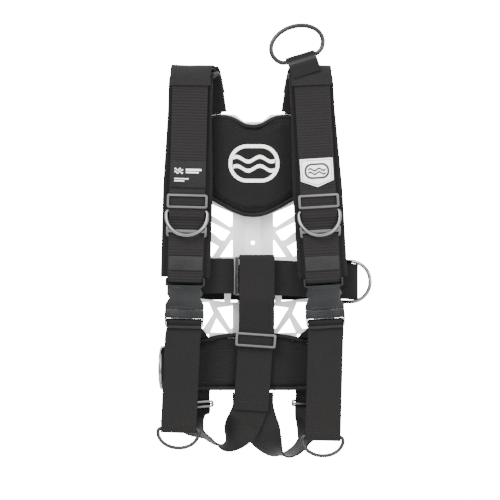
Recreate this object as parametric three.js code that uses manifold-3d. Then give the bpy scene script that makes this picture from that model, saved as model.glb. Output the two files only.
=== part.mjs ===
// A diver's backplate and harness: a truss-cut plate, two padded shoulder straps with
// quick-release buckles, a waist belt, a crotch strap that splits into two leg straps,
// and the steel rings and sliders that ride on the webbing.
//
// Millimetres, +Z up, +X to the right of someone facing the wearer's side, -Y towards
// them. The origin is the centre of the plate's rear ridge, where the tank is bolted on.

import * as THREE from 'three';
import { mergeVertices } from 'three/addons/utils/BufferGeometryUtils.js';
import Module from 'manifold-3d';

const wasm = await Module();
wasm.setup();

// ---------------------------------------------------------------- driving dimensions

const CLEAR = 0.35;              // gap kept between pieces that touch

const WEB_WIDTH = 50;
const WEB_THICK = 2.5;
const RING_WIRE = 5.2;           // wire diameter of the steel D-rings
const BAR_THICK = 2.4;           // steel strip of the sliders

const PLATE_THICK = 3;
const PLATE_TOP = 200;
const PLATE_BOTTOM = -186;
const PLATE_HALF_WIDTH = 118;
const RIDGE_HALF = 12;           // half width of the flat that meets the tank
const RIDGE_FOOT = 30;           // where the ridge's sloping sides meet the wings
const RIDGE_DEPTH = 17;
const WING_SLOPE = 0.06;
const BOLT_SPACING = 279.4;      // the two tank bolts
const BOLT_HOLE = 8.4;
const SIGHT_HOLE = 6;
const SIGHT_HOLE_Z = 16;
const SHOULDER_SLOT_Z = 172;
const SHOULDER_SLOT_X = 70;
const HIP_SLOT_Z = -118;
const HIP_SLOT_X = 89;
const SLOT_HEIGHT = 7;

const BACK_PAD_TOP = 196;
const BACK_PAD_THICK = 12;
const LUMBAR_HALF = 124;
const LUMBAR_THICK = 12;

const STRAP_TOP = 257;           // highest point of the shoulder pads
const SHOULDER_DEPTH = 32;       // from the strap's rear run to its front run
const PAD_THICK = 9;
const PAD_WIDTH_TOP = 62;
const PAD_WIDTH_LOW = 70;
const PAD_BEND = 14;             // radius of the bend over the shoulder
const PAD_LIFT = 3.75;           // webbing stands this far off the pad

const SLIDER_HEIGHT = 19.5;
const SLIDER_RAIL = 3.2;
const KEEPER_HEIGHT = 16;
const CHEST_SLIDER_Z = 74;
const CHEST_RING_Z = 61;
const CHEST_RING_DROP = 37;      // bar to the bottom of the wire's centre line
const CHEST_RING_TILT = THREE.MathUtils.degToRad(20);
const KEEPER_Z = 32;
const LABEL_Z = 112;
const RUBBER_Z = -13;

const BUCKLE_TOP = -34;          // upper edge of the buckle's socket
const SOCKET_LENGTH = 38;
const PLUG_LENGTH = 26;          // the part of the plug that stays outside the socket
const BUCKLE_THICK = 13;
const BUCKLE_WALL = 2.4;

const BELT_Z = -31;
const BELT_FRONT_Y = -47;
const BELT_REAR_Y = -34;
const BELT_SLOT_X = 100;
const REAR_BAND_Z = -41;

const CROTCH_TOP = -1;
const CROTCH_BACK_Y = -44;
const CROTCH_FRONT_Y = -66;
const CROTCH_SLIDER_Z = -122;
const CROTCH_BOTTOM = -222;

const CROTCH_REAR_TOP = -43;
const CROTCH_X = 5.5;
const CROTCH_LEAN = 0.07;
const LEG_SLIDER_Z = -218;
const LEG_TURN = 0.8;            // how far the leg straps turn on edge, of a right angle
const LEG_SLIDER_HEIGHT = 10;
const PULL_RING_DROP = 27;
const LEVER_PIN_X = 17;
const HIP_RING_X = 122;
const HIP_RING_REACH = 46;
const HIP_RING_TILT = THREE.MathUtils.degToRad(-20);
const HIP_TAB_Z = -161;

const TOP_RING_WIRE = 6.4;
const TOP_RING_HALF_WIDTH = 37.5;
const TOP_RING_HALF_HEIGHT = 27;
const TOP_RING_SEAT = 19;        // from the bar to the middle of the oval
const TOP_RING_X = 67.7;
const TOP_RING_Y = -51;
const TOP_RING_Z = 277;
const TOP_TAB_WIDTH = 42;
const TOP_RING_TILT = THREE.MathUtils.degToRad(17);

// What differs between the two sides, as distances out from the middle
const SIDES = {
  left: {
    dir: -1, strapTop: 88, strapLow: 95.5, rearX: 68, tailTop: 99, tailLow: 105,
    tailEnd: -252, beltOut: 122, beltDrop: 0, legX: 84, legLow: -273, legIn: 11, legStart: -41,
  },
  right: {
    dir: 1, strapTop: 82.5, strapLow: 99, rearX: 71, tailTop: 102, tailLow: 98.5,
    tailEnd: -263, beltOut: 149, beltDrop: 9, legX: 83, legLow: -288, legIn: 13, legStart: -38,
  },
};

// ---------------------------------------------------------------- materials

const finish = (color, roughness, metalness = 0) =>
  new THREE.MeshStandardMaterial({ color, roughness, metalness });

const MATERIALS = {
  plate: () => finish(0xdcdddd, 0.45, 0.6),
  padFabric: () => finish(0x2b2929, 0.9),
  webbing: () => finish(0x3a3737, 0.85),
  ribbedWebbing: () => finish(0x423e3e, 0.85),
  steel: () => finish(0xc4c4c6, 0.22, 1),
  darkSteel: () => finish(0x3b3b3d, 0.35, 1),
  acetal: () => finish(0x26282a, 0.3),
  rubber: () => finish(0x363636, 0.7),
  whitePrint: () => finish(0xe9e9e6, 0.6),
  labelFabric: () => finish(0x333232, 0.7),
};

// ---------------------------------------------------------------- solids

function toSolid(geometry) {
  const bare = geometry.clone();
  bare.deleteAttribute('normal');
  bare.deleteAttribute('uv');
  const merged = mergeVertices(bare, 1e-4);
  return new wasm.Manifold(new wasm.Mesh({
    numProp: 3,
    vertProperties: new Float32Array(merged.attributes.position.array),
    triVerts: new Uint32Array(merged.index.array),
  }));
}

function toGeometry(solid) {
  const { vertProperties, triVerts } = solid.getMesh();
  const geometry = new THREE.BufferGeometry();
  geometry.setAttribute('position', new THREE.BufferAttribute(vertProperties, 3));
  geometry.setIndex(new THREE.BufferAttribute(triVerts, 1));
  geometry.computeVertexNormals();
  return geometry;
}

const join = (...geometries) =>
  toGeometry(geometries.map(toSolid).reduce((whole, piece) => whole.add(piece)));

const cut = (geometry, ...tools) =>
  toGeometry(tools.map(toSolid).reduce((whole, tool) => whole.subtract(tool), toSolid(geometry)));

// A box given by its lowest and highest corners
function block(low, high) {
  const size = high.map((value, i) => value - low[i]);
  const centre = high.map((value, i) => (value + low[i]) / 2);
  return new THREE.BoxGeometry(...size).translate(...centre);
}

// A shape drawn in X and Z, made solid from y = front to y = back
function slab(shape, front, back) {
  const geometry = new THREE.ExtrudeGeometry(shape, {
    depth: back - front, bevelEnabled: false, curveSegments: 3,
  });
  return geometry.rotateX(Math.PI / 2).translate(0, back, 0);
}

// A polygon, always wound the same way round
function outline(points) {
  const corners = points.map(([x, z]) => new THREE.Vector2(x, z));
  return new THREE.Shape(THREE.ShapeUtils.isClockWise(corners) ? corners.reverse() : corners);
}

function roundedRectangle(width, height, radius, Kind = THREE.Shape) {
  const x = width / 2;
  const z = height / 2;
  const path = new Kind();
  path.absarc(x - radius, z - radius, radius, 0, Math.PI / 2);
  path.absarc(-x + radius, z - radius, radius, Math.PI / 2, Math.PI);
  path.absarc(-x + radius, -z + radius, radius, Math.PI, 1.5 * Math.PI);
  path.absarc(x - radius, -z + radius, radius, 1.5 * Math.PI, 2 * Math.PI);
  return path;
}

// ---------------------------------------------------------------- straps

// Points along a line with its corners rounded
function route(points, radius, steps = 5) {
  const corners = points.map((point) => new THREE.Vector3(...point));
  const samples = [corners[0]];
  for (let i = 1; i < corners.length - 1; i += 1) {
    const before = corners[i - 1].clone().sub(corners[i]);
    const after = corners[i + 1].clone().sub(corners[i]);
    const reach = Math.min(radius, before.length() / 2.05, after.length() / 2.05);
    const start = corners[i].clone().addScaledVector(before.normalize(), reach);
    const end = corners[i].clone().addScaledVector(after.normalize(), reach);
    samples.push(...new THREE.QuadraticBezierCurve3(start, corners[i], end).getPoints(steps));
  }
  samples.push(corners[corners.length - 1]);
  return samples;
}

const smoothRoute = (points, steps) =>
  new THREE.CatmullRomCurve3(points.map((point) => new THREE.Vector3(...point)))
    .getSpacedPoints(steps);

// A flat strap whose middle follows the samples. across gives the direction of its width
// at a fraction of its length, and width may change along it too.
function strap(samples, { width = WEB_WIDTH, thick = WEB_THICK, across = () => [1, 0, 0] } = {}) {
  const rows = samples.length - 1;
  const widthAt = typeof width === 'function' ? width : () => width;
  const geometry = new THREE.BoxGeometry(1, 1, 1, 1, 1, rows);
  const position = geometry.attributes.position;
  for (let i = 0; i < position.count; i += 1) {
    const row = Math.round((position.getZ(i) + 0.5) * rows);
    const share = row / rows;
    const tangent = samples[Math.min(row + 1, rows)].clone()
      .sub(samples[Math.max(row - 1, 0)]).normalize();
    const side = new THREE.Vector3(...across(share));
    side.addScaledVector(tangent, -side.dot(tangent)).normalize();
    const face = tangent.clone().cross(side);
    const point = samples[row].clone()
      .addScaledVector(side, position.getX(i) * widthAt(share))
      .addScaledVector(face, position.getY(i) * thick);
    position.setXYZ(i, point.x, point.y, point.z);
  }
  return geometry;
}

// ---------------------------------------------------------------- rings and sliders

// A closed wire in the X-Z plane: path is drawn clockwise, seen from the front
function wireRing(path, wire, around = 28) {
  const geometry = new THREE.TorusGeometry(1, 0.2, 6, around);
  const { position, uv } = geometry.attributes;
  for (let i = 0; i < position.count; i += 1) {
    const turn = uv.getX(i) % 1;
    const roll = uv.getY(i) * 2 * Math.PI;
    const centre = path.getPointAt(turn);
    const along = path.getTangentAt(turn);
    const out = (wire / 2) * Math.cos(roll);
    const lift = (wire / 2) * Math.sin(roll);
    position.setXYZ(i, centre.x - along.y * out, lift, centre.y + along.x * out);
  }
  return geometry;
}

// The centre line of a D-ring: its bar lies on the X axis and it hangs below
function dShape(halfWidth, depth, corner = 5) {
  const straight = Math.max(corner, depth - halfWidth);
  const path = new THREE.Path();
  path.moveTo(-halfWidth + corner, 0);
  path.lineTo(halfWidth - corner, 0);
  path.absarc(halfWidth - corner, -corner, corner, Math.PI / 2, 0, true);
  path.absellipse(0, -straight, halfWidth, depth - straight, 0, -Math.PI, true);
  path.absarc(-halfWidth + corner, -corner, corner, Math.PI, Math.PI / 2, true);
  return path;
}

const RING_HALF = WEB_WIDTH / 2 + 3 * CLEAR + RING_WIRE / 2;

// A three-bar slider, centred on a strap whose front face is at y = front and back face
// at y = back: two outer bars in front, the middle bar behind. room is the gap left
// beside the strap's edges.
function threeBarSlider(height, front, back, room = CLEAR) {
  const inner = WEB_WIDTH / 2 + room;
  const outer = inner + SLIDER_RAIL;
  const frame = roundedRectangle(2 * outer, height, 3);
  frame.holes.push(roundedRectangle(2 * inner, height - 2 * BAR_THICK - 1.2, 1, THREE.Path));
  const face = front - CLEAR;
  const rear = back + CLEAR + BAR_THICK;
  const bar = height / 8;
  return join(
    slab(frame, face - BAR_THICK, face),
    block([-outer, face - BAR_THICK / 2, -height / 3], [-inner, rear, height / 3]),
    block([inner, face - BAR_THICK / 2, -height / 3], [outer, rear, height / 3]),
    block([-inner - 1, rear - BAR_THICK, -bar], [inner + 1, rear, bar]),
  );
}

// ---------------------------------------------------------------- layers, front to back

const wingBack = (x) => -(RIDGE_DEPTH + (Math.abs(x) - RIDGE_FOOT) * WING_SLOPE);
const wingFront = (x) => wingBack(x) - PLATE_THICK;
const behindPlate = (x) => wingBack(x) + CLEAR + WEB_THICK / 2;
const beforePlate = (x) => wingFront(x) - CLEAR - WEB_THICK / 2;

const HALF_WEB = WEB_WIDTH / 2;
const REAR_RUN_Y = wingFront(SHOULDER_SLOT_X + 30) - CLEAR - PAD_THICK / 2;
const FRONT_RUN_Y = REAR_RUN_Y - SHOULDER_DEPTH;
const PAD_FRONT = FRONT_RUN_Y - PAD_THICK / 2;
const WEB_OFFSET = PAD_THICK / 2 + PAD_LIFT + WEB_THICK / 2;
const WEB_Y = FRONT_RUN_Y - WEB_OFFSET;
const WEB_FRONT = WEB_Y - WEB_THICK / 2;
const WEB_BACK = WEB_Y + WEB_THICK / 2;
const HUMP = Math.max(0, RING_WIRE + 4 * CLEAR - PAD_LIFT);
const CHEST_RING_Y = PAD_FRONT - 2 * CLEAR - RING_WIRE / 2;
const COVER_THICK = 2;
const COVER_OFFSET = WEB_OFFSET + WEB_THICK / 2 + 3 * CLEAR + COVER_THICK / 2;
const LUMBAR_BACK = wingFront(PLATE_HALF_WIDTH) - CLEAR;
const BACK_PAD_BACK = wingFront(SHOULDER_SLOT_X + HALF_WEB) - WEB_THICK - 3 * CLEAR;

const strapX = (side, z) =>
  side.dir * (side.strapTop + (side.strapLow - side.strapTop) * (240 - z) / 284);
const strapTilt = (side) => -side.dir * Math.atan((side.strapLow - side.strapTop) / 284);
const acrossAt = (tilt) => [Math.cos(tilt), 0, -Math.sin(tilt)];

const part = new THREE.Group();
part.name = 'backplate_harness';

function add(name, geometry, material, parent = part) {
  const mesh = new THREE.Mesh(geometry, MATERIALS[material]());
  mesh.name = name;
  parent.add(mesh);
  return mesh;
}

// A frame on the front run of a shoulder strap, at height z
function onStrap(side, z, y = 0) {
  const frame = new THREE.Group();
  frame.position.set(strapX(side, z), y, z);
  frame.rotation.y = strapTilt(side);
  part.add(frame);
  return frame;
}

const mirrored = (points) => points.map(([x, z]) => [-x, z]).reverse();

// ---------------------------------------------------------------- backplate

// Openings between the struts on one side, as distances out from the middle
const TRUSS_CELLS = [
  [[29, 58], [80, 80], [80, 63], [57, 54], [33, 38.5], [29, 40]],
  [[32.5, 31.5], [80, 56], [80, 41], [57, 29.6], [46, 20], [40.5, 19.5]],
  [[48.5, 10.5], [80, 29], [80, 8], [58, -4]],
  [[29, 19.5], [31, 19.5], [47, -4], [29, -4]],
  [[41, -13], [82, -13], [82, -63], [41, -68]],
  [[22.5, -13], [31.5, -13], [31.5, -69], [22.5, -69]],
  [[29, -74], [51, -77], [32.5, -107], [29, -106]],
  [[52, -92], [36, -113], [61, -112]],
  [[63, -69], [82, -69], [88, -104], [71, -107], [56.5, -85]],
  [[34, -128], [72, -128], [34, -158]],
  [[84, -132], [84, -160], [46, -160]],
  [[18, 92], [60, 108], [66, 92], [24, 70]],
  [[18, 104], [52, 117], [18, 132]],
  [[62, 120], [88, 104], [88, 150], [28, 150], [24, 142]],
];

function plateProfile() {
  const bend = PLATE_THICK * Math.tan(Math.atan2(RIDGE_DEPTH, RIDGE_FOOT - RIDGE_HALF) / 2);
  const edge = PLATE_HALF_WIDTH + 1;
  const back = [[edge, wingBack(edge)], [RIDGE_FOOT, wingBack(RIDGE_FOOT)], [RIDGE_HALF, 0]];
  const front = [
    [RIDGE_HALF - bend, -PLATE_THICK],
    [RIDGE_FOOT - bend, wingFront(RIDGE_FOOT)],
    [edge, wingFront(edge)],
  ];
  return outline([...back, ...mirrored(back), ...mirrored(front), ...front]);
}

function plateOutline() {
  const half = [
    [13, PLATE_TOP - 10], [25, PLATE_TOP - 1], [45, PLATE_TOP],
    [92, PLATE_TOP - 6], [103, PLATE_TOP - 18], [103, 140], [95, 70], [PLATE_HALF_WIDTH - 8, 8],
    [PLATE_HALF_WIDTH - 8, -75], [PLATE_HALF_WIDTH, -95], [PLATE_HALF_WIDTH, -168],
    [PLATE_HALF_WIDTH - 10, PLATE_BOTTOM], [30, PLATE_BOTTOM], [22, PLATE_BOTTOM + 6],
  ];
  return outline([...half, ...mirrored(half)]);
}

function slotOutline(x, z, width, height) {
  const w = width / 2;
  const h = height / 2;
  return outline([[x - w, z - h], [x + w, z - h], [x + w, z + h], [x - w, z + h]]);
}

function roundOutline(x, z, diameter) {
  const turns = Array.from({ length: 16 }, (_, i) => i * Math.PI / 8);
  const r = diameter / 2;
  return outline(turns.map((turn) => [x + r * Math.cos(turn), z + r * Math.sin(turn)]));
}

function plateOpenings() {
  const cells = TRUSS_CELLS.flatMap((cell) => [outline(cell), outline(mirrored(cell))]);
  const slots = [-1, 1].flatMap((dir) => [
    slotOutline(dir * SHOULDER_SLOT_X, SHOULDER_SLOT_Z, WEB_WIDTH + 4, SLOT_HEIGHT),
    slotOutline(dir * HIP_SLOT_X, HIP_SLOT_Z, WEB_WIDTH + 2, SLOT_HEIGHT),
    slotOutline(dir * BELT_SLOT_X, BELT_Z, SLOT_HEIGHT, WEB_WIDTH + 4),
  ]);
  const holes = [
    roundOutline(0, BOLT_SPACING / 2, BOLT_HOLE),
    roundOutline(0, -BOLT_SPACING / 2, BOLT_HOLE),
    roundOutline(0, SIGHT_HOLE_Z, SIGHT_HOLE),
  ];
  return [...cells, ...slots, ...holes];
}

function buildPlate() {
  const bent = new THREE.ExtrudeGeometry(plateProfile(), {
    depth: PLATE_TOP - PLATE_BOTTOM + 20, bevelEnabled: false,
  }).translate(0, 0, PLATE_BOTTOM - 10);
  const blank = toSolid(bent).intersect(toSolid(slab(plateOutline(), -60, 20)));
  const openings = plateOpenings().map((shape) => slab(shape, -60, 20));
  add('backplate', cut(toGeometry(blank), ...openings), 'plate');
}

// ---------------------------------------------------------------- back and lumbar pads

function buildPads() {
  const top = BACK_PAD_TOP;
  const right = [[0, top - 15], [12, top - 13.5], [32, top - 1.5], [52, top - 1], [63, top - 4],
    [64, 150], [64, 84], [57, 79], [31, 64], [13, 56.5], [0, 55.5]];
  add('back_pad', slab(outline([...right, ...mirrored(right.slice(1, -1))]),
    BACK_PAD_BACK - BACK_PAD_THICK, BACK_PAD_BACK), 'padFabric');

  const face = BACK_PAD_BACK - BACK_PAD_THICK - CLEAR;
  const ring = roundedRectangle(72, 54, 26);
  ring.holes.push(roundedRectangle(62, 44, 21, THREE.Path));
  const wave = (z) => {
    const xs = Array.from({ length: 17 }, (_, i) => -33 + i * 66 / 16);
    const rise = (x) => z + 3.4 * Math.sin(x * Math.PI / 16.5);
    return outline([...xs.map((x) => [x, rise(x) - 2.6]),
      ...xs.reverse().map((x) => [x, rise(x) + 2.6])]);
  };
  const emblem = add('back_pad_emblem',
    join(slab(ring, face - 1, face), slab(wave(6), face - 1, face), slab(wave(-7), face - 1, face)),
    'whitePrint');
  emblem.position.set(1.5, 0, 128.5);

  const lumbar = outline([
    [-64, -122], [-50, -118], [-20, -115], [20, -115], [50, -118], [64, -122],
    [LUMBAR_HALF - 10, -127],
    [LUMBAR_HALF, -138], [LUMBAR_HALF, -176], [LUMBAR_HALF - 12, -188], [60, -191], [-60, -191],
    [-LUMBAR_HALF + 12, -188], [-LUMBAR_HALF, -176], [-LUMBAR_HALF, -138],
    [-LUMBAR_HALF + 10, -127],
  ]);
  add('lumbar_pad', slab(lumbar, LUMBAR_BACK - LUMBAR_THICK, LUMBAR_BACK), 'padFabric');
}

// ---------------------------------------------------------------- shoulder straps

// The middle line of a layer that lies outside the pad by offset, from the rear up over
// the shoulder and down to zEnd
function shoulderLine(side, offset, zStart, zEnd) {
  const rear = REAR_RUN_Y + offset;
  const front = FRONT_RUN_Y - offset;
  const top = STRAP_TOP - PAD_THICK / 2 + offset;
  const rearX = side.dir * side.rearX;
  return [[rearX, rear, zStart], [rearX + side.dir * 8, rear, top],
    [strapX(side, STRAP_TOP), front, top], [strapX(side, zEnd), front, zEnd]];
}

function buildShoulder(name, side) {
  const padEnd = BUCKLE_TOP + 1;
  const padWidth = (share) => (share < 0.35 ? PAD_WIDTH_TOP
    : PAD_WIDTH_TOP + (PAD_WIDTH_LOW - PAD_WIDTH_TOP) * Math.min(1, (share - 0.35) / 0.3));
  add(`shoulder_pad_${name}`,
    strap(route(shoulderLine(side, 0, BACK_PAD_TOP + 2.5, padEnd), PAD_BEND, 8),
      { width: padWidth, thick: PAD_THICK }), 'padFabric');

  // The webbing starts in front of the plate, goes back through its slot, up behind it,
  // over the pad, out over the ring's bar and round the bar of the buckle
  const x = side.dir * SHOULDER_SLOT_X;
  const rearY = behindPlate(SHOULDER_SLOT_X - HALF_WEB);
  const frontY = beforePlate(SHOULDER_SLOT_X + HALF_WEB);
  const slotPart = route([[x, frontY, SHOULDER_SLOT_Z - 16], [x, frontY, SHOULDER_SLOT_Z],
    [x, rearY, SHOULDER_SLOT_Z], [x, rearY, PLATE_TOP + 6]], 2.4, 4);
  const over = shoulderLine(side, WEB_OFFSET, PLATE_TOP + 14, CHEST_SLIDER_Z + 18);
  const overPart = route(over, PAD_BEND + WEB_OFFSET, 9);
  const hump = WEB_Y - HUMP;
  const wrapY = WEB_BACK + 2 * CLEAR + BAR_THICK + WEB_THICK / 2;
  const low = BUCKLE_TOP - 4.5 - CLEAR - WEB_THICK / 2;
  const along = (y, z) => [strapX(side, z), y, z];
  const lowPart = route([along(WEB_Y, CHEST_SLIDER_Z + 17), along(hump, CHEST_SLIDER_Z + 12),
    along(hump, CHEST_RING_Z - 8), along(WEB_Y, CHEST_RING_Z - 14), along(WEB_Y, low),
    along(wrapY, low), along(wrapY, BUCKLE_TOP)], 2.8, 4);
  const across = (share) => acrossAt(share < 0.5 ? 0 : strapTilt(side));
  add(`shoulder_webbing_${name}`,
    strap([...slotPart, ...overPart, ...lowPart.slice(1)], { across }), 'ribbedWebbing');

  const cover = route(shoulderLine(side, COVER_OFFSET, 225, 237), PAD_BEND + COVER_OFFSET, 9);
  add(`shoulder_cover_${name}`, strap(cover, { width: WEB_WIDTH + 7, thick: COVER_THICK }),
    'padFabric');

  const slider = onStrap(side, CHEST_SLIDER_Z);
  add(`chest_slider_${name}`, threeBarSlider(SLIDER_HEIGHT, WEB_FRONT - HUMP, WEB_BACK - HUMP),
    'steel', slider);

  const ring = onStrap(side, CHEST_RING_Z, CHEST_RING_Y);
  add(`chest_ring_${name}`, wireRing(dShape(RING_HALF, CHEST_RING_DROP), RING_WIRE), 'steel', ring);
  ring.children[0].rotation.x = -CHEST_RING_TILT;

  const keeper = onStrap(side, KEEPER_Z);
  const flat = threeBarSlider(KEEPER_HEIGHT, -WEB_THICK / 2, WEB_THICK / 2);
  add(`keeper_slider_${name}`, flat.rotateZ(Math.PI).translate(0, WEB_Y, 0), 'steel', keeper);

  const rubber = onStrap(side, RUBBER_Z, WEB_FRONT - CLEAR);
  add(`rubber_band_${name}`, slab(roundedRectangle(WEB_WIDTH - 2, 20, 2), -1.6, 0), 'rubber', rubber);
}

function buildBadges() {
  const label = onStrap(SIDES.left, LABEL_Z, WEB_FRONT - CLEAR);
  add('label_patch', slab(roundedRectangle(WEB_WIDTH, 38, 1), -1, 0), 'labelFabric', label);
  const badge = onStrap(SIDES.right, LABEL_Z, WEB_FRONT - CLEAR);
  const half = WEB_WIDTH / 2 - 2;
  const pentagon = outline([[-half, 22], [half, 22], [half, -9], [0, -18], [-half, -9]]);
  add('badge_patch', slab(pentagon, -1, 0), 'whitePrint', badge);
}

// ---------------------------------------------------------------- release buckles

const BUCKLE_Y = WEB_Y + 1.5;
const BUCKLE_FRONT = BUCKLE_Y - BUCKLE_THICK / 2;
const BUCKLE_BACK = BUCKLE_Y + BUCKLE_THICK / 2;
const SLOT_HALF = WEB_WIDTH / 2 + CLEAR;
const BUCKLE_HALF = SLOT_HALF + BUCKLE_WALL;
const CAVITY_HALF = BUCKLE_HALF - 6.5;      // half width of the hollow that takes the arms
const CAVITY_Y = 4.2;
const ARM_Y = CAVITY_Y - CLEAR - 0.35;
const PLUG_TOP = -SOCKET_LENGTH - 6 - CLEAR;
const ARM_ROOT = [CAVITY_HALF - 6, PLUG_TOP + 2];

// Heights below are measured from the socket's upper edge
function buildBuckle(name, side) {
  const bottom = -SOCKET_LENGTH - 6;
  const w = BUCKLE_HALF;
  const half = [[w, 0], [w, -10.2], [w - 5.2, -13], [w - 6, -28], [w - 0.5, -37], [w - 0.6, bottom]];
  const body = slab(outline([...half, ...mirrored(half)]), BUCKLE_FRONT, BUCKLE_BACK);
  const reach = CAVITY_HALF;
  const barBack = WEB_BACK + CLEAR + BAR_THICK;
  const socket = cut(body,
    block([-SLOT_HALF, BUCKLE_FRONT - 1, -4.5], [SLOT_HALF, BUCKLE_BACK + 1, 1]),
    block([-SLOT_HALF, BUCKLE_FRONT - 1, -10], [SLOT_HALF, BUCKLE_BACK + 1, -4]),
    block([-reach, BUCKLE_Y - CAVITY_Y, bottom - 1], [reach, BUCKLE_Y + CAVITY_Y, -12.5]),
    block([-w - 1, BUCKLE_Y - CAVITY_Y, -30], [w + 1, BUCKLE_Y + CAVITY_Y, -12.5]));
  const bar = block([-SLOT_HALF - 1, WEB_BACK + CLEAR, -4.5], [SLOT_HALF + 1, barBack, -1]);
  const frame = onStrap(side, BUCKLE_TOP);
  add(`buckle_socket_${name}`, join(socket, bar), 'acetal', frame);

  // The plug: a guide inside the socket, a solid shoulder, the cross bar and the lower lip
  const end = PLUG_TOP - PLUG_LENGTH;
  const window = [PLUG_TOP - 12, end + 3.5];
  const shell = [[w - 0.8, PLUG_TOP], [w, PLUG_TOP - 8], [w - 1, end + 4], [w - 4, end]];
  const plate = slab(outline([...shell, ...mirrored(shell)]), BUCKLE_FRONT, BUCKLE_BACK);
  const lipBack = BUCKLE_Y - 2.5;
  const barZ = window[0] - WEB_THICK - 2 * CLEAR - 1;
  const plug = join(
    cut(plate,
      block([-SLOT_HALF, BUCKLE_FRONT - 1, window[1]], [SLOT_HALF, BUCKLE_BACK + 1, window[0]]),
      block([-SLOT_HALF, lipBack, end - 1], [SLOT_HALF, BUCKLE_BACK + 1, window[1] + 1])),
    block([-SLOT_HALF - 1, BUCKLE_Y - 0.5, barZ - 1], [SLOT_HALF + 1, BUCKLE_Y + 3, barZ + 1]),
    block([-5.5, BUCKLE_Y - ARM_Y, PLUG_TOP - 1], [5.5, BUCKLE_Y + ARM_Y, -17]));
  add(`buckle_plug_${name}`, plug, 'acetal', frame);

  // Spring arms: straight legs with a bulge that shows through the socket's side windows
  const root = PLUG_TOP + CLEAR;
  const arm = [[ARM_ROOT[0] - 3, root], [reach - 1, root], [reach - 1, -30.2], [w - 6, -28.5],
    [w - 2.2, -22], [w - 5, -16], [w - 8, -13.6], [w - 9.4, -15.5], [ARM_ROOT[0] + 1.5, -30]];
  [[-1, 'l'], [1, 'r']].forEach(([dir, tag]) => {
    const shape = outline(dir > 0 ? arm : mirrored(arm));
    add(`buckle_arm_${name}_${tag}`, slab(shape, BUCKLE_Y - ARM_Y, BUCKLE_Y + ARM_Y), 'acetal', frame);
  });
  return { frame, barZ: BUCKLE_TOP + barZ, lipBack };
}

// ---------------------------------------------------------------- adjuster webbing and pulls

// From behind the plate, through its lower slot, up behind the plug, over the plug's bar,
// out behind its lip and down to a fold round the pull ring
function buildAdjuster(name, side, { barZ, lipBack }) {
  const { dir } = side;
  const rear = behindPlate(HIP_SLOT_X - HALF_WEB);
  const front = beforePlate(HIP_SLOT_X + HALF_WEB) - 3;
  const standY = BUCKLE_Y + 3 + CLEAR + WEB_THICK / 2;
  const overZ = barZ + 1 + CLEAR + WEB_THICK / 2;
  const faceY = BUCKLE_Y - 0.5 - CLEAR - WEB_THICK / 2;
  const tailY = lipBack + CLEAR + WEB_THICK / 2;
  const inPlug = (y, z) => [strapX(side, z), y, z];
  const hipX = dir * HIP_SLOT_X;
  const tailX = (z) => dir * (side.tailTop + (side.tailLow - side.tailTop) * (-118 - z) / 134);
  const fold = side.tailEnd + WEB_THICK / 2;
  const foldY = tailY + RING_WIRE + 3 * CLEAR + WEB_THICK;
  const rise = fold + 3;
  const samples = [
    ...route([[hipX, rear, HIP_SLOT_Z - 22], [hipX, rear, HIP_SLOT_Z], [hipX, front, HIP_SLOT_Z],
      inPlug(standY, barZ - 10), inPlug(standY, overZ), inPlug(faceY, overZ),
      inPlug(faceY, barZ - 1.5), inPlug(tailY, barZ - 5.6), inPlug(tailY, barZ - 13)], 2.6, 4),
    ...route([[tailX(-118), tailY, -118], [tailX(fold), tailY, fold], [tailX(fold), foldY, fold],
      [tailX(fold), foldY, rise + RING_WIRE], [tailX(fold), tailY + WEB_THICK + CLEAR, rise + 14]],
    3.6, 5),
  ];
  const tailTilt = -dir * Math.atan((side.tailLow - side.tailTop) / 134);
  const across = (share) => acrossAt(share < 0.5 ? strapTilt(side) : tailTilt);
  add(`adjuster_webbing_${name}`, strap(samples, { across }), 'webbing');

  const ring = new THREE.Group();
  ring.position.set(tailX(fold), (tailY + foldY) / 2,
    fold + WEB_THICK / 2 + 2.5 * CLEAR + RING_WIRE / 2);
  ring.rotation.y = tailTilt;
  part.add(ring);
  add(`pull_ring_${name}`, wireRing(dShape(RING_HALF, PULL_RING_DROP), RING_WIRE), 'darkSteel', ring);
}

// ---------------------------------------------------------------- waist belt and hip rings

const BELT_FACE = BELT_FRONT_Y - WEB_THICK / 2;
const BELT_SPLIT = -18;                    // where the two belt ends meet behind the buckle

const flatAcross = () => [0, 0, 1];

function buildBelt(name, side) {
  const { dir, beltOut, beltDrop } = side;
  const rear = behindPlate(BELT_SLOT_X - 16);
  const out = dir * (beltOut - WEB_THICK / 2);
  const end = BELT_SPLIT + dir * 2;
  const low = BELT_Z - beltDrop;
  const samples = route([[dir * (BELT_SLOT_X - 16), rear, BELT_Z], [dir * BELT_SLOT_X, rear, BELT_Z],
    [dir * BELT_SLOT_X, BELT_REAR_Y, BELT_Z], [out, BELT_REAR_Y, low],
    [out, BELT_FRONT_Y, low], [end, BELT_FRONT_Y, BELT_Z]], 4.5, 5);
  add(`waist_belt_${name}`, strap(samples, { across: flatAcross }), 'webbing');
}

// The stretch that joins the two belts: behind the wings, out through the slots beside
// the ridge and across in front of it
function buildRearBand() {
  const behind = behindPlate(RIDGE_FOOT + 1);
  const before = wingFront(RIDGE_FOOT) - CLEAR;
  const half = [[21.5, before], [29, behind], [BELT_SLOT_X - 18, behind]];
  const points = [...mirrored(half), ...half].map(([x, y]) => [x, y, REAR_BAND_Z]);
  add('waist_band_rear', strap(route(points, 6, 4), { across: flatAcross }), 'webbing');
}

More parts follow.
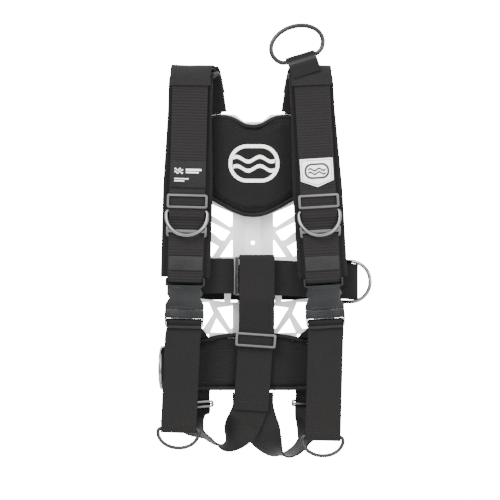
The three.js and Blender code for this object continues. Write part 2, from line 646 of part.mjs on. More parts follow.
function buildBeltBuckle() {
  const frame = new THREE.Group();
  frame.position.set(-2, 0, BELT_Z);
  part.add(frame);
  const half = WEB_WIDTH / 2 + 2.4;
  const face = BELT_FACE - CLEAR;
  const plate = cut(slab(roundedRectangle(48, 2 * half, 3), face - BAR_THICK, face),
    slab(slotOutline(-15.5, 0, 5, 2 * half - 8), face - 9, face + 9),
    slab(slotOutline(12, 0, 6, 2 * half - 8), face - 9, face + 9));
  const roll = new THREE.CylinderGeometry(2.3, 2.3, 2 * half - 2, 14).rotateX(Math.PI / 2)
    .translate(-23.4, face - 2.3, 0);
  add('belt_buckle_frame', join(plate, roll), 'steel', frame);
  const front = face - BAR_THICK - CLEAR;
  const pin = new THREE.CylinderGeometry(1.6, 1.6, 2 * half - 6, 12).rotateX(Math.PI / 2)
    .translate(LEVER_PIN_X, front - 2, 0);
  add('belt_buckle_pin', pin, 'steel', frame);
  const lever = slab(roundedRectangle(30, 2 * half - 8, 3), front - 3, front - 1);
  const barrel = new THREE.CylinderGeometry(3.4, 3.4, 2 * half - 12, 16).rotateX(Math.PI / 2)
    .translate(LEVER_PIN_X, front - 3.5, 0);
  const bore = new THREE.CylinderGeometry(1.6 + CLEAR, 1.6 + CLEAR, 80, 12).rotateX(Math.PI / 2)
    .translate(LEVER_PIN_X, front - 2, 0);
  const under = block([-60, front - CLEAR, -60], [60, front + 20, 60]);
  add('belt_buckle_lever', cut(join(lever, barrel), bore, under), 'steel', frame);
}

function buildHipRings() {
  const right = new THREE.Group();
  right.position.set(HIP_RING_X, BELT_FRONT_Y + WEB_THICK / 2 + CLEAR + RING_WIRE / 2,
    BELT_Z - SIDES.right.beltDrop + 1);
  right.rotation.z = HIP_RING_TILT;
  part.add(right);
  const ring = wireRing(dShape(RING_HALF, HIP_RING_REACH), RING_WIRE).rotateY(-Math.PI / 2);
  add('hip_ring_right', ring, 'steel', right);

  // On the other side the ring sits in a sewn tab at the end of the lumbar pad
  const tabY = LUMBAR_BACK - LUMBAR_THICK - CLEAR - WEB_THICK / 2;
  const ringX = -LUMBAR_HALF - RING_WIRE / 2 - 2 * CLEAR;
  const turnX = ringX - RING_WIRE / 2 - 2 * CLEAR - WEB_THICK / 2;
  const backY = tabY + RING_WIRE + 6 * CLEAR + WEB_THICK;
  const samples = route([[-LUMBAR_HALF + 26, tabY, HIP_TAB_Z], [turnX, tabY, HIP_TAB_Z],
    [turnX, backY, HIP_TAB_Z], [-LUMBAR_HALF - CLEAR, backY, HIP_TAB_Z]], 3.4, 5);
  add('hip_tab_left', strap(samples, { across: flatAcross }), 'webbing');
  const left = new THREE.Group();
  left.position.set(ringX, (tabY + backY) / 2, HIP_TAB_Z);
  left.rotation.z = Math.PI / 2 - 0.08;
  part.add(left);
  const drop = wireRing(dShape(RING_HALF, HIP_RING_REACH - 5), RING_WIRE).rotateY(Math.PI / 2);
  add('hip_ring_left', drop, 'steel', left);
}

// ---------------------------------------------------------------- crotch and leg straps

function buildCrotch() {
  const gap = BAR_THICK + 2 * CLEAR;
  const innerY = CROTCH_BACK_Y - WEB_THICK - gap;
  const top = CROTCH_TOP - WEB_THICK / 2;
  const x = (z) => CROTCH_X + Math.min(0, z + 100) * CROTCH_LEAN;
  const low = CROTCH_SLIDER_Z - SLIDER_HEIGHT / 2;
  const samples = route([[x(CROTCH_BOTTOM), CROTCH_BACK_Y, CROTCH_BOTTOM],
    [x(-100), CROTCH_BACK_Y, -100], [x(0), CROTCH_BACK_Y, -60], [x(0), CROTCH_REAR_TOP, -52],
    [x(0), CROTCH_REAR_TOP, top], [x(0), CROTCH_FRONT_Y, top], [x(0), CROTCH_FRONT_Y, -66],
    [x(-108), innerY, -108], [x(low), innerY, low]], 3.6, 4);
  add('crotch_strap', strap(samples), 'webbing');
  const slider = new THREE.Group();
  slider.position.set(x(CROTCH_SLIDER_Z), 0, CROTCH_SLIDER_Z);
  slider.rotation.y = Math.atan(CROTCH_LEAN);
  part.add(slider);
  const front = innerY - WEB_THICK / 2;
  add('crotch_slider', threeBarSlider(SLIDER_HEIGHT, front, innerY + WEB_THICK / 2), 'steel', slider);
}

function buildLeg(name, side) {
  const { dir, legX, legLow, legIn, legStart } = side;
  const endX = dir * (PLATE_HALF_WIDTH - 33);
  const rear = behindPlate(PLATE_HALF_WIDTH - 33 - HALF_WEB) + CLEAR;
  const points = [[dir * 4, legStart, -197], [dir * 5, legStart, -221],
    [dir * (legIn + 8), legStart - 1, legLow + 24], [dir * 42, -39, legLow + 2],
    [dir * 65, -34, legLow + 12], [dir * legX, -27, -240], [dir * (legX + 2), rear + 2, LEG_SLIDER_Z],
    [dir * (legX + 3), rear, -202], [endX, rear, PLATE_BOTTOM + 2], [endX, rear, PLATE_BOTTOM + 22]];
  // The strap leaves the crotch flat to the front, turns almost on edge round the leg and
  // turns back again to lie against the plate. Each turn is a share of a right angle.
  const steps = 72;
  const samples = smoothRoute(points, steps);
  const row = samples.findIndex((point, i) => i > steps * 0.6 && point.z > LEG_SLIDER_Z);
  const share = row / steps;
  const turn = [[0, 0], [0.2, 0], [0.42, LEG_TURN], [share - 0.22, LEG_TURN], [share - 0.04, 0.06],
    [share, 0], [1, 0]];
  const across = (at) => {
    const next = Math.max(1, turn.findIndex(([key]) => key >= at));
    const [from, to] = [turn[next - 1], turn[next]];
    const angle = (from[1] + (to[1] - from[1]) * (at - from[0]) / (to[0] - from[0])) * Math.PI / 2;
    return [-dir * Math.cos(angle), dir * Math.sin(angle), 0];
  };
  add(`leg_strap_${name}`, strap(samples, { across }), 'webbing');

  const tangent = samples[row + 1].clone().sub(samples[row - 1]).normalize();
  const wide = new THREE.Vector3(...across(share));
  wide.addScaledVector(tangent, -wide.dot(tangent)).normalize();
  const basis = new THREE.Matrix4().makeBasis(wide, tangent.clone().cross(wide), tangent);
  const holder = new THREE.Group();
  holder.applyMatrix4(basis.setPosition(samples[row]));
  part.add(holder);
  const loose = WEB_THICK / 2 + 3;
  add(`leg_slider_${name}`, threeBarSlider(LEG_SLIDER_HEIGHT, -loose, loose, 2), 'steel', holder);

  const head = new THREE.CylinderGeometry(5, 5, 2, 16)
    .translate(endX, rear + WEB_THICK / 2 + CLEAR + 1, PLATE_BOTTOM + 12);
  add(`leg_screw_${name}`, head, 'steel');
}

// ---------------------------------------------------------------- ring over the shoulder

function topRingPath() {
  const angle = Math.asin(TOP_RING_SEAT / TOP_RING_HALF_HEIGHT);
  const barHalf = TOP_RING_HALF_WIDTH * Math.cos(angle);
  const path = new THREE.Path();
  const lift = TOP_RING_SEAT;
  const start = new THREE.Vector2(TOP_RING_HALF_WIDTH * Math.cos(angle - 0.3),
    lift - TOP_RING_HALF_HEIGHT * Math.sin(angle - 0.3));
  path.moveTo(barHalf - 6, 0);
  path.lineTo(-barHalf + 6, 0);
  path.quadraticCurveTo(-barHalf - 2, 0, -start.x, start.y);
  path.absellipse(0, lift, TOP_RING_HALF_WIDTH, TOP_RING_HALF_HEIGHT,
    Math.PI + angle - 0.3, -(angle - 0.3), true);
  path.quadraticCurveTo(barHalf + 2, 0, barHalf - 6, 0);
  return path;
}

function buildTopRing() {
  const group = new THREE.Group();
  group.position.set(TOP_RING_X, TOP_RING_Y, TOP_RING_Z);
  group.rotation.y = -TOP_RING_TILT;
  part.add(group);
  add('top_ring', wireRing(topRingPath(), TOP_RING_WIRE, 34), 'darkSteel', group);

  const thick = 2;
  const half = TOP_RING_WIRE / 2 + 2 * CLEAR + thick / 2;
  const front = FRONT_RUN_Y - COVER_OFFSET - COVER_THICK / 2 - CLEAR - thick / 2 - TOP_RING_Y;
  const samples = route([[0, front - 0.6, -26], [0, front - 0.6, -8.5], [0, -half, -1], [0, -half, half],
    [0, half, half], [0, half, -3.4]], 3, 5);
  add('top_ring_tab', strap(samples, { width: TOP_TAB_WIDTH, thick }), 'webbing', group);
}

// ---------------------------------------------------------------- assembly

buildPlate();
buildPads();
buildBadges();
Object.entries(SIDES).forEach(([name, side]) => {
  buildShoulder(name, side);
  buildAdjuster(name, side, buildBuckle(name, side));
  buildBelt(name, side);
  buildLeg(name, side);
});
buildRearBand();
buildBeltBuckle();
buildHipRings();
buildCrotch();
buildTopRing();

export default part;
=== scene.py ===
"""A diver's backplate and harness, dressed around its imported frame.

Every size in the classes below is in millimetres; a mesh is scaled to metres as it is
finished. +Z is up, +X is to the right of someone facing the harness, -Y is towards them.
"""

import logging
import math
from dataclasses import dataclass, field
from enum import Enum
from typing import Callable, Iterable, Sequence

import bmesh
import bpy
from mathutils import Matrix, Vector
from mathutils.bvhtree import BVHTree
from mathutils.noise import noise


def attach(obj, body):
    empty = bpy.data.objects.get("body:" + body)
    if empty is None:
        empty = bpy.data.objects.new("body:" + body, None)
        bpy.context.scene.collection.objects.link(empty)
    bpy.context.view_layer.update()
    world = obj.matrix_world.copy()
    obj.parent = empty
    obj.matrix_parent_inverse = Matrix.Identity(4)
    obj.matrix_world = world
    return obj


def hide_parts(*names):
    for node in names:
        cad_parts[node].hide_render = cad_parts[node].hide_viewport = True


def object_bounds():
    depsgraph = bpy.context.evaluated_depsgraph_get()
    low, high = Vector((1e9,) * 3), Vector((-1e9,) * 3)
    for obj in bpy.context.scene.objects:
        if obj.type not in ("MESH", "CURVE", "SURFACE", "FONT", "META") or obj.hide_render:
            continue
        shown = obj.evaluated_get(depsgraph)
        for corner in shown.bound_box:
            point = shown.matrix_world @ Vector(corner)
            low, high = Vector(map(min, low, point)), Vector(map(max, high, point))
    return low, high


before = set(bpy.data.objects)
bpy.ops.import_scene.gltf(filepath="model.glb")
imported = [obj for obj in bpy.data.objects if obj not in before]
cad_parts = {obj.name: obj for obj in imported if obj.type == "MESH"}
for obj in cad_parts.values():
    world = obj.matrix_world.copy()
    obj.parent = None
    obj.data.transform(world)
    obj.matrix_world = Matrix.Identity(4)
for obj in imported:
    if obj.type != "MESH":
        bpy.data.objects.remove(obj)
CAD_LOW, CAD_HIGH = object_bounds()

LOG = logging.getLogger("harness")
MM = 0.001
ROOT = "harness"
CLEAR = 0.35
BINDING_REACH = 3.3
BINDING_BEND = 9.0
STRAP_HEAD, STRAP_RUN = 240, 284
TAIL_HEAD, TAIL_RUN = -118, 134

Across = Callable[[float], Vector]
Section = Callable[[float], list[tuple[float, float]]]


# ------------------------------------------------------------------ shader groups


class Nodes:
    """A small builder for one node tree."""

    def __init__(self, tree: bpy.types.NodeTree) -> None:
        """Start building in a tree.

        Args:
            tree: the material's or group's node tree.
        """
        self.tree = tree

    def add(self, kind: str, **values: object) -> bpy.types.Node:
        """Add a node and set its attributes.

        Args:
            kind: the node's type name.
            **values: attributes of the node.

        Returns:
            The new node.
        """
        node = self.tree.nodes.new(kind)
        for name, value in values.items():
            setattr(node, name, value)
        return node

    def link(self, source: object, target: object) -> None:
        """Join an output socket to an input socket."""
        self.tree.links.new(source, target)

    def math(self, operation: str, *inputs: object, clamp: bool = False) -> object:
        """Add a Math node fed by sockets or numbers.

        Args:
            operation: the node's operation.
            *inputs: sockets or numbers, in order.
            clamp: whether the result is held between 0 and 1.

        Returns:
            The result socket.
        """
        node = self.add("ShaderNodeMath", operation=operation, use_clamp=clamp)
        for place, value in enumerate(inputs):
            if isinstance(value, (int, float)):
                node.inputs[place].default_value = value
            else:
                self.link(value, node.inputs[place])
        return node.outputs[0]

    def mix(self, factor: object, low: object, high: object) -> object:
        """Blend two colours.

        Args:
            factor: the share of the second colour.
            low: the first colour, a socket or numbers.
            high: the second colour, a socket or numbers.

        Returns:
            The mixed colour's socket.
        """
        node = self.add("ShaderNodeMix", data_type="RGBA")
        for place, value in ((0, factor), (6, low), (7, high)):
            if isinstance(value, (int, float, tuple)):
                node.inputs[place].default_value = value
            else:
                self.link(value, node.inputs[place])
        return node.outputs[2]


def shader_group(
    name: str, inputs: dict[str, tuple[str, float]], outputs: Sequence[str]
) -> tuple[bpy.types.NodeTree, Nodes, dict[str, object], bpy.types.Node]:
    """Make an empty node group with named sockets.

    Args:
        name: the group's name.
        inputs: socket name to its type and default value.
        outputs: names of the float results.

    Returns:
        The group, its builder, its input sockets by name and its output node.
    """
    tree = bpy.data.node_groups.new(name, "ShaderNodeTree")
    for label, (kind, value) in inputs.items():
        socket = tree.interface.new_socket(label, in_out="INPUT", socket_type=kind)
        if kind == "NodeSocketFloat":
            socket.default_value = value
    for label in outputs:
        tree.interface.new_socket(label, in_out="OUTPUT", socket_type="NodeSocketFloat")
    nodes = Nodes(tree)
    source = nodes.add("NodeGroupInput")
    sink = nodes.add("NodeGroupOutput")
    return tree, nodes, {key: source.outputs[key] for key in inputs}, sink


def weave_group() -> bpy.types.NodeTree:
    """Build the plain weave: yarns that pass over and under each other.

    Returns:
        The node group, whose Height is 0 between yarns and 1 on top of one.
    """
    tree, nodes, given, sink = shader_group(
        "woven_yarns",
        {
            "Vector": ("NodeSocketVector", 0.0),
            "Pitch": ("NodeSocketFloat", 0.0012),
            "Ribs": ("NodeSocketFloat", 0.0),
            "Rib Pitch": ("NodeSocketFloat", 0.004),
        },
        ("Height", "Rib"),
    )
    split = nodes.add("ShaderNodeSeparateXYZ")
    nodes.link(given["Vector"], split.inputs[0])
    turns = nodes.math("DIVIDE", math.pi, given["Pitch"])
    warp = nodes.math("SINE", nodes.math("MULTIPLY", split.outputs[0], turns))
    weft = nodes.math("SINE", nodes.math("MULTIPLY", split.outputs[1], turns))
    cross = nodes.math("MULTIPLY", warp, weft)
    yarn = nodes.math("MULTIPLY_ADD", cross, 0.5, 0.5)
    ribs = nodes.math("DIVIDE", math.pi, given["Rib Pitch"])
    rib = nodes.math(
        "ABSOLUTE", nodes.math("SINE", nodes.math("MULTIPLY", split.outputs[1], ribs))
    )
    raised = nodes.math("MULTIPLY", rib, given["Ribs"])
    nodes.link(nodes.math("ADD", yarn, raised), sink.inputs["Height"])
    nodes.link(rib, sink.inputs["Rib"])
    return tree


def cloud_group() -> bpy.types.NodeTree:
    """Build soft patches of variation, for dust, fading and uneven gloss.

    Returns:
        The node group, whose Cloud and Fine run from 0 to 1.
    """
    tree, nodes, given, sink = shader_group(
        "soft_patches",
        {
            "Vector": ("NodeSocketVector", 0.0),
            "Scale": ("NodeSocketFloat", 18.0),
            "Fine Scale": ("NodeSocketFloat", 420.0),
        },
        ("Cloud", "Fine"),
    )
    for label, scale, detail in (("Cloud", "Scale", 4.0), ("Fine", "Fine Scale", 3.0)):
        texture = nodes.add("ShaderNodeTexNoise")
        texture.inputs["Detail"].default_value = detail
        nodes.link(given["Vector"], texture.inputs["Vector"])
        nodes.link(given[scale], texture.inputs["Scale"])
        span = nodes.add("ShaderNodeMapRange")
        span.inputs["From Min"].default_value = 0.3
        span.inputs["From Max"].default_value = 0.7
        nodes.link(texture.outputs["Fac"], span.inputs["Value"])
        nodes.link(span.outputs[0], sink.inputs[label])
    return tree


def brushed_group() -> bpy.types.NodeTree:
    """Build the fine lines that polishing leaves on metal.

    Returns:
        The node group, whose Lines run from 0 to 1 along the vector's first axis.
    """
    tree, nodes, given, sink = shader_group(
        "polishing_lines",
        {"Vector": ("NodeSocketVector", 0.0), "Scale": ("NodeSocketFloat", 60.0)},
        ("Lines",),
    )
    stretch = nodes.add("ShaderNodeMapping")
    stretch.inputs["Scale"].default_value = (0.6, 12.0, 22.0)
    nodes.link(given["Vector"], stretch.inputs["Vector"])
    texture = nodes.add("ShaderNodeTexNoise")
    texture.inputs["Detail"].default_value = 5.0
    nodes.link(stretch.outputs[0], texture.inputs["Vector"])
    nodes.link(given["Scale"], texture.inputs["Scale"])
    nodes.link(texture.outputs["Fac"], sink.inputs["Lines"])
    return tree


GROUPS = {"weave": weave_group(), "cloud": cloud_group(), "lines": brushed_group()}


# ------------------------------------------------------------------ finishes


class Grain(Enum):
    """Which coordinates a cloth's weave follows."""

    SURFACE = "uv"
    SPACE = "object"


@dataclass(frozen=True)
class Finish:
    """What every finish shares."""

    name: str
    color: tuple[float, float, float]
    roughness: float

    def start(self) -> tuple[bpy.types.Material, Nodes, bpy.types.Node, bpy.types.Node]:
        """Make the material with its shader.

        Returns:
            The material, its builder, its Principled shader and its coordinates node.
        """
        material = bpy.data.materials.new(self.name)
        material.use_nodes = True
        material.diffuse_color = (*self.color, 1.0)
        nodes = Nodes(material.node_tree)
        shader = material.node_tree.nodes["Principled BSDF"]
        return material, nodes, shader, nodes.add("ShaderNodeTexCoord")

    def shade(self, factor: float) -> tuple[float, float, float, float]:
        """The colour made lighter or darker, with alpha."""
        return tuple(min(1.0, part * factor) for part in self.color) + (1.0,)


def grouped(nodes: Nodes, key: str, vector: object, **values: float) -> bpy.types.Node:
    """Place a shared group with its own values.

    Args:
        nodes: the material's builder.
        key: the group's key in GROUPS.
        vector: the socket its pattern follows.
        **values: numbers for its inputs, with _ for a space.

    Returns:
        The group node.
    """
    node = nodes.add("ShaderNodeGroup", node_tree=GROUPS[key])
    nodes.link(vector, node.inputs["Vector"])
    for label, value in values.items():
        node.inputs[label.replace("_", " ")].default_value = value
    return node


@dataclass(frozen=True)
class Cloth(Finish):
    """Woven nylon: pad fabric, webbing or a woven label."""

    pitch: float = 0.0012
    ribs: float = 0.0
    rib_pitch: float = 0.004
    grain: Grain = Grain.SURFACE
    depth: float = 0.0003
    sheen: float = 0.03
    gloss: float = 0.1
    fade: float = 1.4

    def material(self) -> bpy.types.Material:
        """Build the cloth.

        Returns:
            The finished material.
        """
        material, nodes, shader, places = self.start()
        vector = places.outputs["UV" if self.grain is Grain.SURFACE else "Object"]
        if self.grain is Grain.SPACE:
            turn = nodes.add("ShaderNodeMapping")
            turn.inputs["Rotation"].default_value = (math.radians(90), 0.0, 0.0)
            nodes.link(vector, turn.inputs["Vector"])
            vector = turn.outputs[0]
        weave = grouped(
            nodes, "weave", vector, Pitch=self.pitch, Ribs=self.ribs,
            Rib_Pitch=self.rib_pitch,
        )
        cloud = grouped(nodes, "cloud", places.outputs["Object"], Scale=22.0)
        worn = nodes.mix(cloud.outputs["Cloud"], self.shade(0.78), self.shade(self.fade))
        lint = nodes.math("MULTIPLY", cloud.outputs["Fine"], 0.22)
        # painted light and shade: the weave's height lightens the tops of the yarns and ribs towards
        # 1.7 times the colour, so the gaps between them keep a painted shade
        yarn = nodes.math("MULTIPLY", weave.outputs["Height"], 0.35, clamp=True)
        dusty = nodes.mix(lint, worn, self.shade(3.2))
        # blend the painted yarn and rib highlight over the worn, dusty colour
        nodes.link(nodes.mix(yarn, dusty, self.shade(1.7)), shader.inputs["Base Color"])
        rough = nodes.math("MULTIPLY_ADD", cloud.outputs["Cloud"], 0.14, self.roughness - 0.07)
        nodes.link(rough, shader.inputs["Roughness"])
        shader.inputs["Sheen Weight"].default_value = self.sheen
        shader.inputs["Sheen Roughness"].default_value = 0.45
        shader.inputs["Specular IOR Level"].default_value = self.gloss
        bump = nodes.add("ShaderNodeBump")
        bump.inputs["Strength"].default_value = 0.6
        bump.inputs["Distance"].default_value = self.depth
        nodes.link(weave.outputs["Height"], bump.inputs["Height"])
        nodes.link(bump.outputs[0], shader.inputs["Normal"])
        return material


@dataclass(frozen=True)
class Metal(Finish):
    """Polished, coated or brushed metal."""

    metallic: float = 1.0
    scratches: float = 0.25
    spread: float = 0.12
    depth: float = 0.00005
    coat: float = 0.0

    def material(self) -> bpy.types.Material:
        """Build the metal.

        Returns:
            The finished material.
        """
        material, nodes, shader, places = self.start()
        lines = grouped(nodes, "lines", places.outputs["Object"], Scale=60.0)
        cloud = grouped(nodes, "cloud", places.outputs["Object"], Scale=30.0)
        tone = nodes.mix(cloud.outputs["Cloud"], self.shade(0.88), self.shade(1.08))
        streak = nodes.math("MULTIPLY", lines.outputs["Lines"], self.scratches)
        nodes.link(nodes.mix(streak, tone, self.shade(0.7)), shader.inputs["Base Color"])
        smear = nodes.math("MULTIPLY", cloud.outputs["Fine"], self.spread)
        nodes.link(nodes.math("ADD", smear, self.roughness), shader.inputs["Roughness"])
        shader.inputs["Metallic"].default_value = self.metallic
        shader.inputs["Coat Weight"].default_value = self.coat
        bump = nodes.add("ShaderNodeBump")
        bump.inputs["Strength"].default_value = 0.3
        bump.inputs["Distance"].default_value = self.depth
        nodes.link(lines.outputs["Lines"], bump.inputs["Height"])
        nodes.link(bump.outputs[0], shader.inputs["Normal"])
        return material


@dataclass(frozen=True)
class Moulded(Finish):
    """Moulded plastic, rubber or flat print."""

    texture: float = 0.00008
    texture_scale: float = 900.0
    coat: float = 0.0
    scuff: float = 1.4
    gloss: float = 0.4

    def material(self) -> bpy.types.Material:
        """Build the moulded surface.

        Returns:
            The finished material.
        """
        material, nodes, shader, places = self.start()
        cloud = grouped(
            nodes, "cloud", places.outputs["Object"], Scale=35.0,
            Fine_Scale=self.texture_scale,
        )
        nodes.link(
            nodes.mix(cloud.outputs["Cloud"], self.shade(0.9), self.shade(self.scuff)),
            shader.inputs["Base Color"],
        )
        rough = nodes.math("MULTIPLY_ADD", cloud.outputs["Cloud"], 0.12, self.roughness - 0.04)
        nodes.link(rough, shader.inputs["Roughness"])
        shader.inputs["Coat Weight"].default_value = self.coat
        shader.inputs["Coat Roughness"].default_value = 0.2
        shader.inputs["Specular IOR Level"].default_value = self.gloss
        bump = nodes.add("ShaderNodeBump")
        bump.inputs["Strength"].default_value = 0.4
        bump.inputs["Distance"].default_value = self.texture
        nodes.link(cloud.outputs["Fine"], bump.inputs["Height"])
        nodes.link(bump.outputs[0], shader.inputs["Normal"])
        return material


PAD_FABRIC = Cloth(
    "pad_nylon", (0.0038, 0.0035, 0.0035), 0.72, pitch=0.0013, grain=Grain.SPACE
).material()
PAD_BINDING = Cloth("pad_binding", (0.0058, 0.0054, 0.0054), 0.6, pitch=0.0016).material()
RIBBED_WEB = Cloth(
    "ribbed_webbing", (0.0056, 0.0049, 0.0049), 0.62, pitch=0.0012, ribs=1.4,
    rib_pitch=0.0042, depth=0.0005,
).material()
FLAT_WEB = Cloth(
    "flat_webbing", (0.0042, 0.0039, 0.0038), 0.66, pitch=0.0014, ribs=0.35,
    rib_pitch=0.0022, depth=0.0003,
).material()
LABEL_FABRIC = Cloth(
    "woven_label", (0.0065, 0.0062, 0.0062), 0.5, pitch=0.0006, grain=Grain.SPACE
).material()
STITCH = Cloth(
    "stitch_thread", (0.016, 0.015, 0.015), 0.55, pitch=0.0004, grain=Grain.SPACE
).material()
PLATE = Metal("plate_aluminium", (0.93, 0.935, 0.94), 0.34, metallic=0.4, scratches=0.12).material()
STEEL = Metal("polished_steel", (0.17, 0.17, 0.174), 0.15).material()
DARK_STEEL = Metal(
    "black_coated_steel", (0.014, 0.014, 0.015), 0.3, metallic=0.5, coat=0.08
).material()
ACETAL = Moulded("black_acetal", (0.0035, 0.004, 0.0046), 0.24, coat=0.06, gloss=0.3).material()
RUBBER = Moulded("black_rubber", (0.008, 0.0078, 0.0078), 0.6, gloss=0.2, texture=0.0002).material()
PRINT = Moulded("white_print", (0.83, 0.83, 0.81), 0.55, scuff=1.02).material()
GREY_PRINT = Moulded("grey_print", (0.23, 0.23, 0.235), 0.55, scuff=1.1).material()
BLACK_PRINT = Moulded("black_print", (0.02, 0.02, 0.021), 0.5, scuff=1.2).material()


# ------------------------------------------------------------------ lines


def vec(x: float, y: float, z: float) -> Vector:
    """A point in millimetres."""
    return Vector((x, y, z))


def route(corners: Sequence[Vector], radius: float, steps: int = 6) -> list[Vector]:
    """Round the corners of a line.

    Args:
        corners: the line's points.
        radius: how far from a corner its rounding starts.
        steps: points along each rounding.

    Returns:
        The rounded line's points.
    """
    line = [corners[0]]
    for before, corner, after in zip(corners, corners[1:], corners[2:]):
        back, on = before - corner, after - corner
        reach = min(radius, back.length / 2.05, on.length / 2.05)
        start = corner + back.normalized() * reach
        end = corner + on.normalized() * reach
        for step in range(steps + 1):
            t = step / steps
            line.append(start * (1 - t) ** 2 + corner * 2 * t * (1 - t) + end * t * t)
    return line + [corners[-1]]


def smooth_route(knots: Sequence[Vector], steps: int) -> list[Vector]:
    """Pass a smooth curve through points, as a centripetal Catmull-Rom spline.

    Args:
        knots: the points it goes through.
        steps: how many equal stretches it is divided into.

    Returns:
        The curve's points.
    """
    padded = [knots[0] * 2 - knots[1], *knots, knots[-1] * 2 - knots[-2]]
    fine = []
    for p0, p1, p2, p3 in zip(padded, padded[1:], padded[2:], padded[3:]):
        t1 = (p1 - p0).length ** 0.5
        t2 = t1 + (p2 - p1).length ** 0.5
        t3 = t2 + (p3 - p2).length ** 0.5
        for step in range(24):
            t = t1 + (t2 - t1) * step / 24
            a1 = p0 * ((t1 - t) / t1) + p1 * (t / t1)
            a2 = p1 * ((t2 - t) / (t2 - t1)) + p2 * ((t - t1) / (t2 - t1))
            a3 = p2 * ((t3 - t) / (t3 - t2)) + p3 * ((t - t2) / (t3 - t2))
            b1 = a1 * ((t2 - t) / t2) + a2 * (t / t2)
            b2 = a2 * ((t3 - t) / (t3 - t1)) + a3 * ((t - t1) / (t3 - t1))
            fine.append(b1 * ((t2 - t) / (t2 - t1)) + b2 * ((t - t1) / (t2 - t1)))
    fine.append(knots[-1])
    return respaced(fine, polyline_length(fine) / steps)


def polyline_length(line: Sequence[Vector]) -> float:
    """The length of a line."""
    return sum((b - a).length for a, b in zip(line, line[1:]))


def respaced(line: Sequence[Vector], pitch: float) -> list[Vector]:
    """Spread points evenly along a line.

    Args:
        line: the line's points.
        pitch: the wanted distance between two points.

    Returns:
        The evenly spaced points, both ends kept.
    """
    total = polyline_length(line)
    count = max(2, round(total / pitch))
    result, place, travelled = [line[0].copy()], 0, 0.0
    for step in range(1, count):
        goal = total * step / count
        while travelled + (line[place + 1] - line[place]).length < goal:
            travelled += (line[place + 1] - line[place]).length
            place += 1
        stretch = line[place + 1] - line[place]
        share = (goal - travelled) / max(stretch.length, 1e-9)
        result.append(line[place] + stretch * share)
    return result + [line[-1].copy()]


# ------------------------------------------------------------------ making pieces


def finished(
    name: str,
    mesh: bmesh.types.BMesh,
    material: bpy.types.Material,
    body: str,
    replaces: Iterable[str] = (),
    smooth: float = 40.0,
    scale: float = MM,
) -> bpy.types.Object:
    """Turn a bmesh into a piece that rides on a body.

    Args:
        name: the piece's name.
        mesh: its shape, freed here.
        material: its finish.
        body: the CAD body that it moves with.
        replaces: the CAD nodes that it stands for.
        smooth: edges flatter than this many degrees are shaded smooth.
        scale: from the mesh's units to metres.

    Returns:
        The piece.
    """
    bmesh.ops.scale(mesh, vec=(scale,) * 3, verts=mesh.verts)
    data = bpy.data.meshes.new(name)
    mesh.to_mesh(data)
    mesh.free()
    data.materials.append(material)
    piece = bpy.data.objects.new(name, data)
    bpy.context.scene.collection.objects.link(piece)
    data.shade_smooth()
    data.set_sharp_from_angle(angle=math.radians(smooth))
    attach(piece, body)
    if replaces:
        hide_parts(*replaces)
    LOG.info("made %s, %d faces", name, len(data.polygons))
    return piece


def flat_section(width: float, thick: float, rows: int = 6) -> list[tuple[float, float]]:
    """The outline of a woven strap's cross-section, with soft edges.

    Args:
        width: across the strap.
        thick: through it.
        rows: faces across each side.

    Returns:
        The outline's points: across, and out of the front face.
    """
    half, lift, soft = width / 2, thick / 2, thick * 0.3
    front = [(-half + soft + (width - 2 * soft) * i / rows, lift) for i in range(rows + 1)]
    back = [(x, -lift) for x, _ in reversed(front)]
    return front + [(half, soft * 0.6), (half, -soft * 0.6)] + back + [
        (-half, -soft * 0.6), (-half, soft * 0.6)
    ]


def next_ring(
    ring: Sequence[bmesh.types.BMVert], grown: Iterable[object]
) -> list[bmesh.types.BMVert]:
    """The vertices that an extrusion made, in the order of those they grew from."""
    fresh = {part for part in grown if isinstance(part, bmesh.types.BMVert)}
    return [
        next(e.other_vert(v) for e in v.link_edges if e.other_vert(v) in fresh) for v in ring
    ]


def sweep(
    line: Sequence[Vector],
    across: Across,
    section: Section,
    relief: Callable[[float, float, float], float] | None = None,
    closed: bool = False,
) -> bmesh.types.BMesh:
    """Draw a cross-section along a line, as a closed solid with UVs in metres.

    Args:
        line: the middle of the strap, or all points of a closed wire but the last.
        across: the direction of its width at a share of its length.
        section: its outline at a share of its length: across, and out of the front face.
        relief: extra lift of the front or back face, from the place across, the distance
            along in millimetres and the side, +1 or -1.
        closed: whether the line joins up with its start.

    Returns:
        The swept solid.
    """
    mesh = bmesh.new()
    last = len(line) - 1
    travelled = 0.0
    spots: dict[bmesh.types.BMVert, tuple[float, float]] = {}
    shape = section(0.0)
    ring = [mesh.verts.new(line[0]) for _ in shape]
    edges = [mesh.edges.new(pair) for pair in zip(ring, ring[1:] + ring[:1])]
    first_edges = edges
    if not closed:
        bmesh.ops.contextual_create(mesh, geom=edges)
    for index, point in enumerate(line):
        share = index / last
        before = line[index - 1] if index or closed else point
        after = line[(index + 1) % len(line)] if index < last or closed else point
        tangent = (after - before).normalized()
        side = across(share)
        side = (side - tangent * side.dot(tangent)).normalized()
        face = tangent.cross(side)
        if index:
            travelled += (point - line[index - 1]).length
            grown = bmesh.ops.extrude_edge_only(mesh, edges=edges)["geom"]
            ring = next_ring(ring, grown)
            edges = [mesh.edges.get(pair) for pair in zip(ring, ring[1:] + ring[:1])]
            shape = section(share)
        for vertex, (out, lift) in zip(ring, shape):
            spots[vertex] = (out, travelled)
            if relief is not None:
                lift += relief(out, travelled, 1.0 if lift > 0 else -1.0)
            vertex.co = point + side * out + face * lift
    if closed:
        bmesh.ops.bridge_loops(mesh, edges=first_edges + edges)
    else:
        bmesh.ops.contextual_create(mesh, geom=edges)
    uv = mesh.loops.layers.uv.new("UVMap")
    for facet in mesh.faces:
        for loop in facet.loops:
            out, along = spots[loop.vert]
            loop[uv].uv = (out * MM, along * MM)
    bmesh.ops.recalc_face_normals(mesh, faces=mesh.faces)
    return mesh


